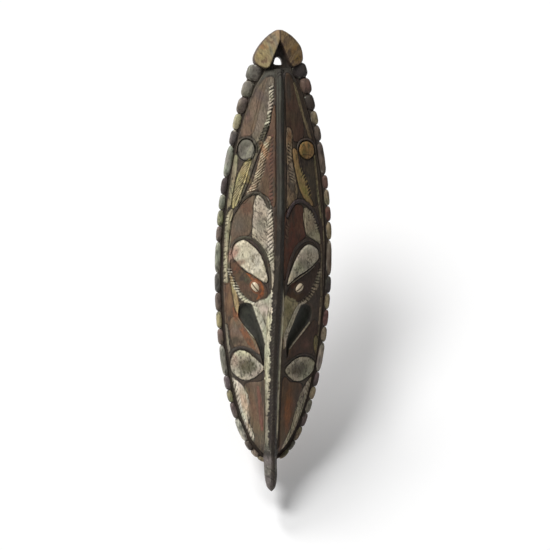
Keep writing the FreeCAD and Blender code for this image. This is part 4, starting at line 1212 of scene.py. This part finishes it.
# The sheet stands this far behind the beak's tip, in metres, and leans back this much for its height.
TIP_GAP, LEAN = 0.019, 0.672
GLOW = 0.1
FLOOR_DROP, SHEET_RISE, WIDE = 1.3, 3.2, 5.0


def sheet(name, corners, material):
    """A flat sheet of the stage."""
    mesh = bpy.data.meshes.new(name)
    mesh.from_pydata(corners, [], [(0, 1, 2, 3)])
    mesh.materials.append(material)
    thing = added(name, mesh)
    return thing


def backdrop_row(z, ways):
    """Two corners of the leaning backdrop, at one height."""
    return [(x * WIDE, TIP_GAP + LEAN * (z - TIP), z) for x in ways]


low, high = TIP - FLOOR_DROP, TIP + SHEET_RISE
backdrop_corners = backdrop_row(low, (-1, 1)) + backdrop_row(high, (1, -1))
backdrop = sheet("backdrop", backdrop_corners, backdrop_paper("backdrop_paper", True))
backdrop.visible_shadow = False
floor_corners = [(x * WIDE, y * WIDE, low) for x, y in ((-1, -1), (1, -1), (1, 1), (-1, 1))]
floor = sheet("floor", floor_corners, backdrop_paper("floor_paper", False))
floor.visible_diffuse = False

# ---------------------------------------------------------------- light


def sun(name, way, power, angle):
    """A sun that shines along way."""
    light = bpy.data.lights.new(name, "SUN")
    light.energy = power
    light.angle = angle
    thing = added(name, light)
    thing.rotation_mode = "QUATERNION"
    thing.rotation_quaternion = Vector(way).to_track_quat("-Z", "Y")


sun("key", (0.99, 1, -1.35), 2.03, 0.368)
sun("soft_key", (2.38, 1, -6), 1.05, 0.2)
sun("rear", (0.3, -0.85, -0.45), 0.8, 0.6)

# The sky is brighter on the left and above.
SKY_ACROSS, SKY_UP = (-1, 0, 0.83, 0.14), (-1, 1, 0.7, 1.2)
world = bpy.data.worlds.new("studio")
world.use_nodes = True
sky, wires = world.node_tree.nodes, world.node_tree.links
way = sky.new("ShaderNodeTexCoord")
split = sky.new("ShaderNodeSeparateXYZ")
product = sky.new("ShaderNodeMath")
product.operation = "MULTIPLY"
wires.new(way.outputs["Generated"], split.inputs[0])
for k, (axis, ends) in enumerate((("X", SKY_ACROSS), ("Z", SKY_UP))):
    fade = sky.new("ShaderNodeMapRange")
    for socket, value in zip(("From Min", "From Max", "To Min", "To Max"), ends):
        fade.inputs[socket].default_value = value
    wires.new(split.outputs[axis], fade.inputs["Value"])
    wires.new(fade.outputs["Result"], product.inputs[k])
wires.new(product.outputs["Value"], sky["Background"].inputs["Strength"])
sky["Background"].inputs["Color"].default_value = (1, 1, 1, 1)
bpy.context.scene.world = world
bpy.context.scene.view_settings.view_transform = "Standard"

# ---------------------------------------------------------------- camera

# The camera stands a little to the left, and is rolled a little. SPAN is the width that it sees.
YAW, ROLL, DISTANCE, SPAN = math.radians(10), 0.0203, 3.2, 0.88
aim = Vector((0.0025, -0.010, TIP + 0.3437))
sight = Vector((math.sin(YAW), math.cos(YAW), 0))
right, up = Vector((math.cos(YAW), -math.sin(YAW), 0)), Vector((0, 0, 1))
tilted_right = right * math.cos(ROLL) + up * math.sin(ROLL)
tilted_up = up * math.cos(ROLL) - right * math.sin(ROLL)
camera_data = bpy.data.cameras.new("camera")
camera_data.sensor_width = 36
camera_data.lens = camera_data.sensor_width * DISTANCE / SPAN
camera_data.clip_end = 50
camera = added("camera", camera_data)
turned = Matrix((tilted_right, tilted_up, -sight)).transposed().to_4x4()
camera.matrix_world = Matrix.Translation(aim - sight * DISTANCE) @ turned
bpy.context.scene.camera = camera
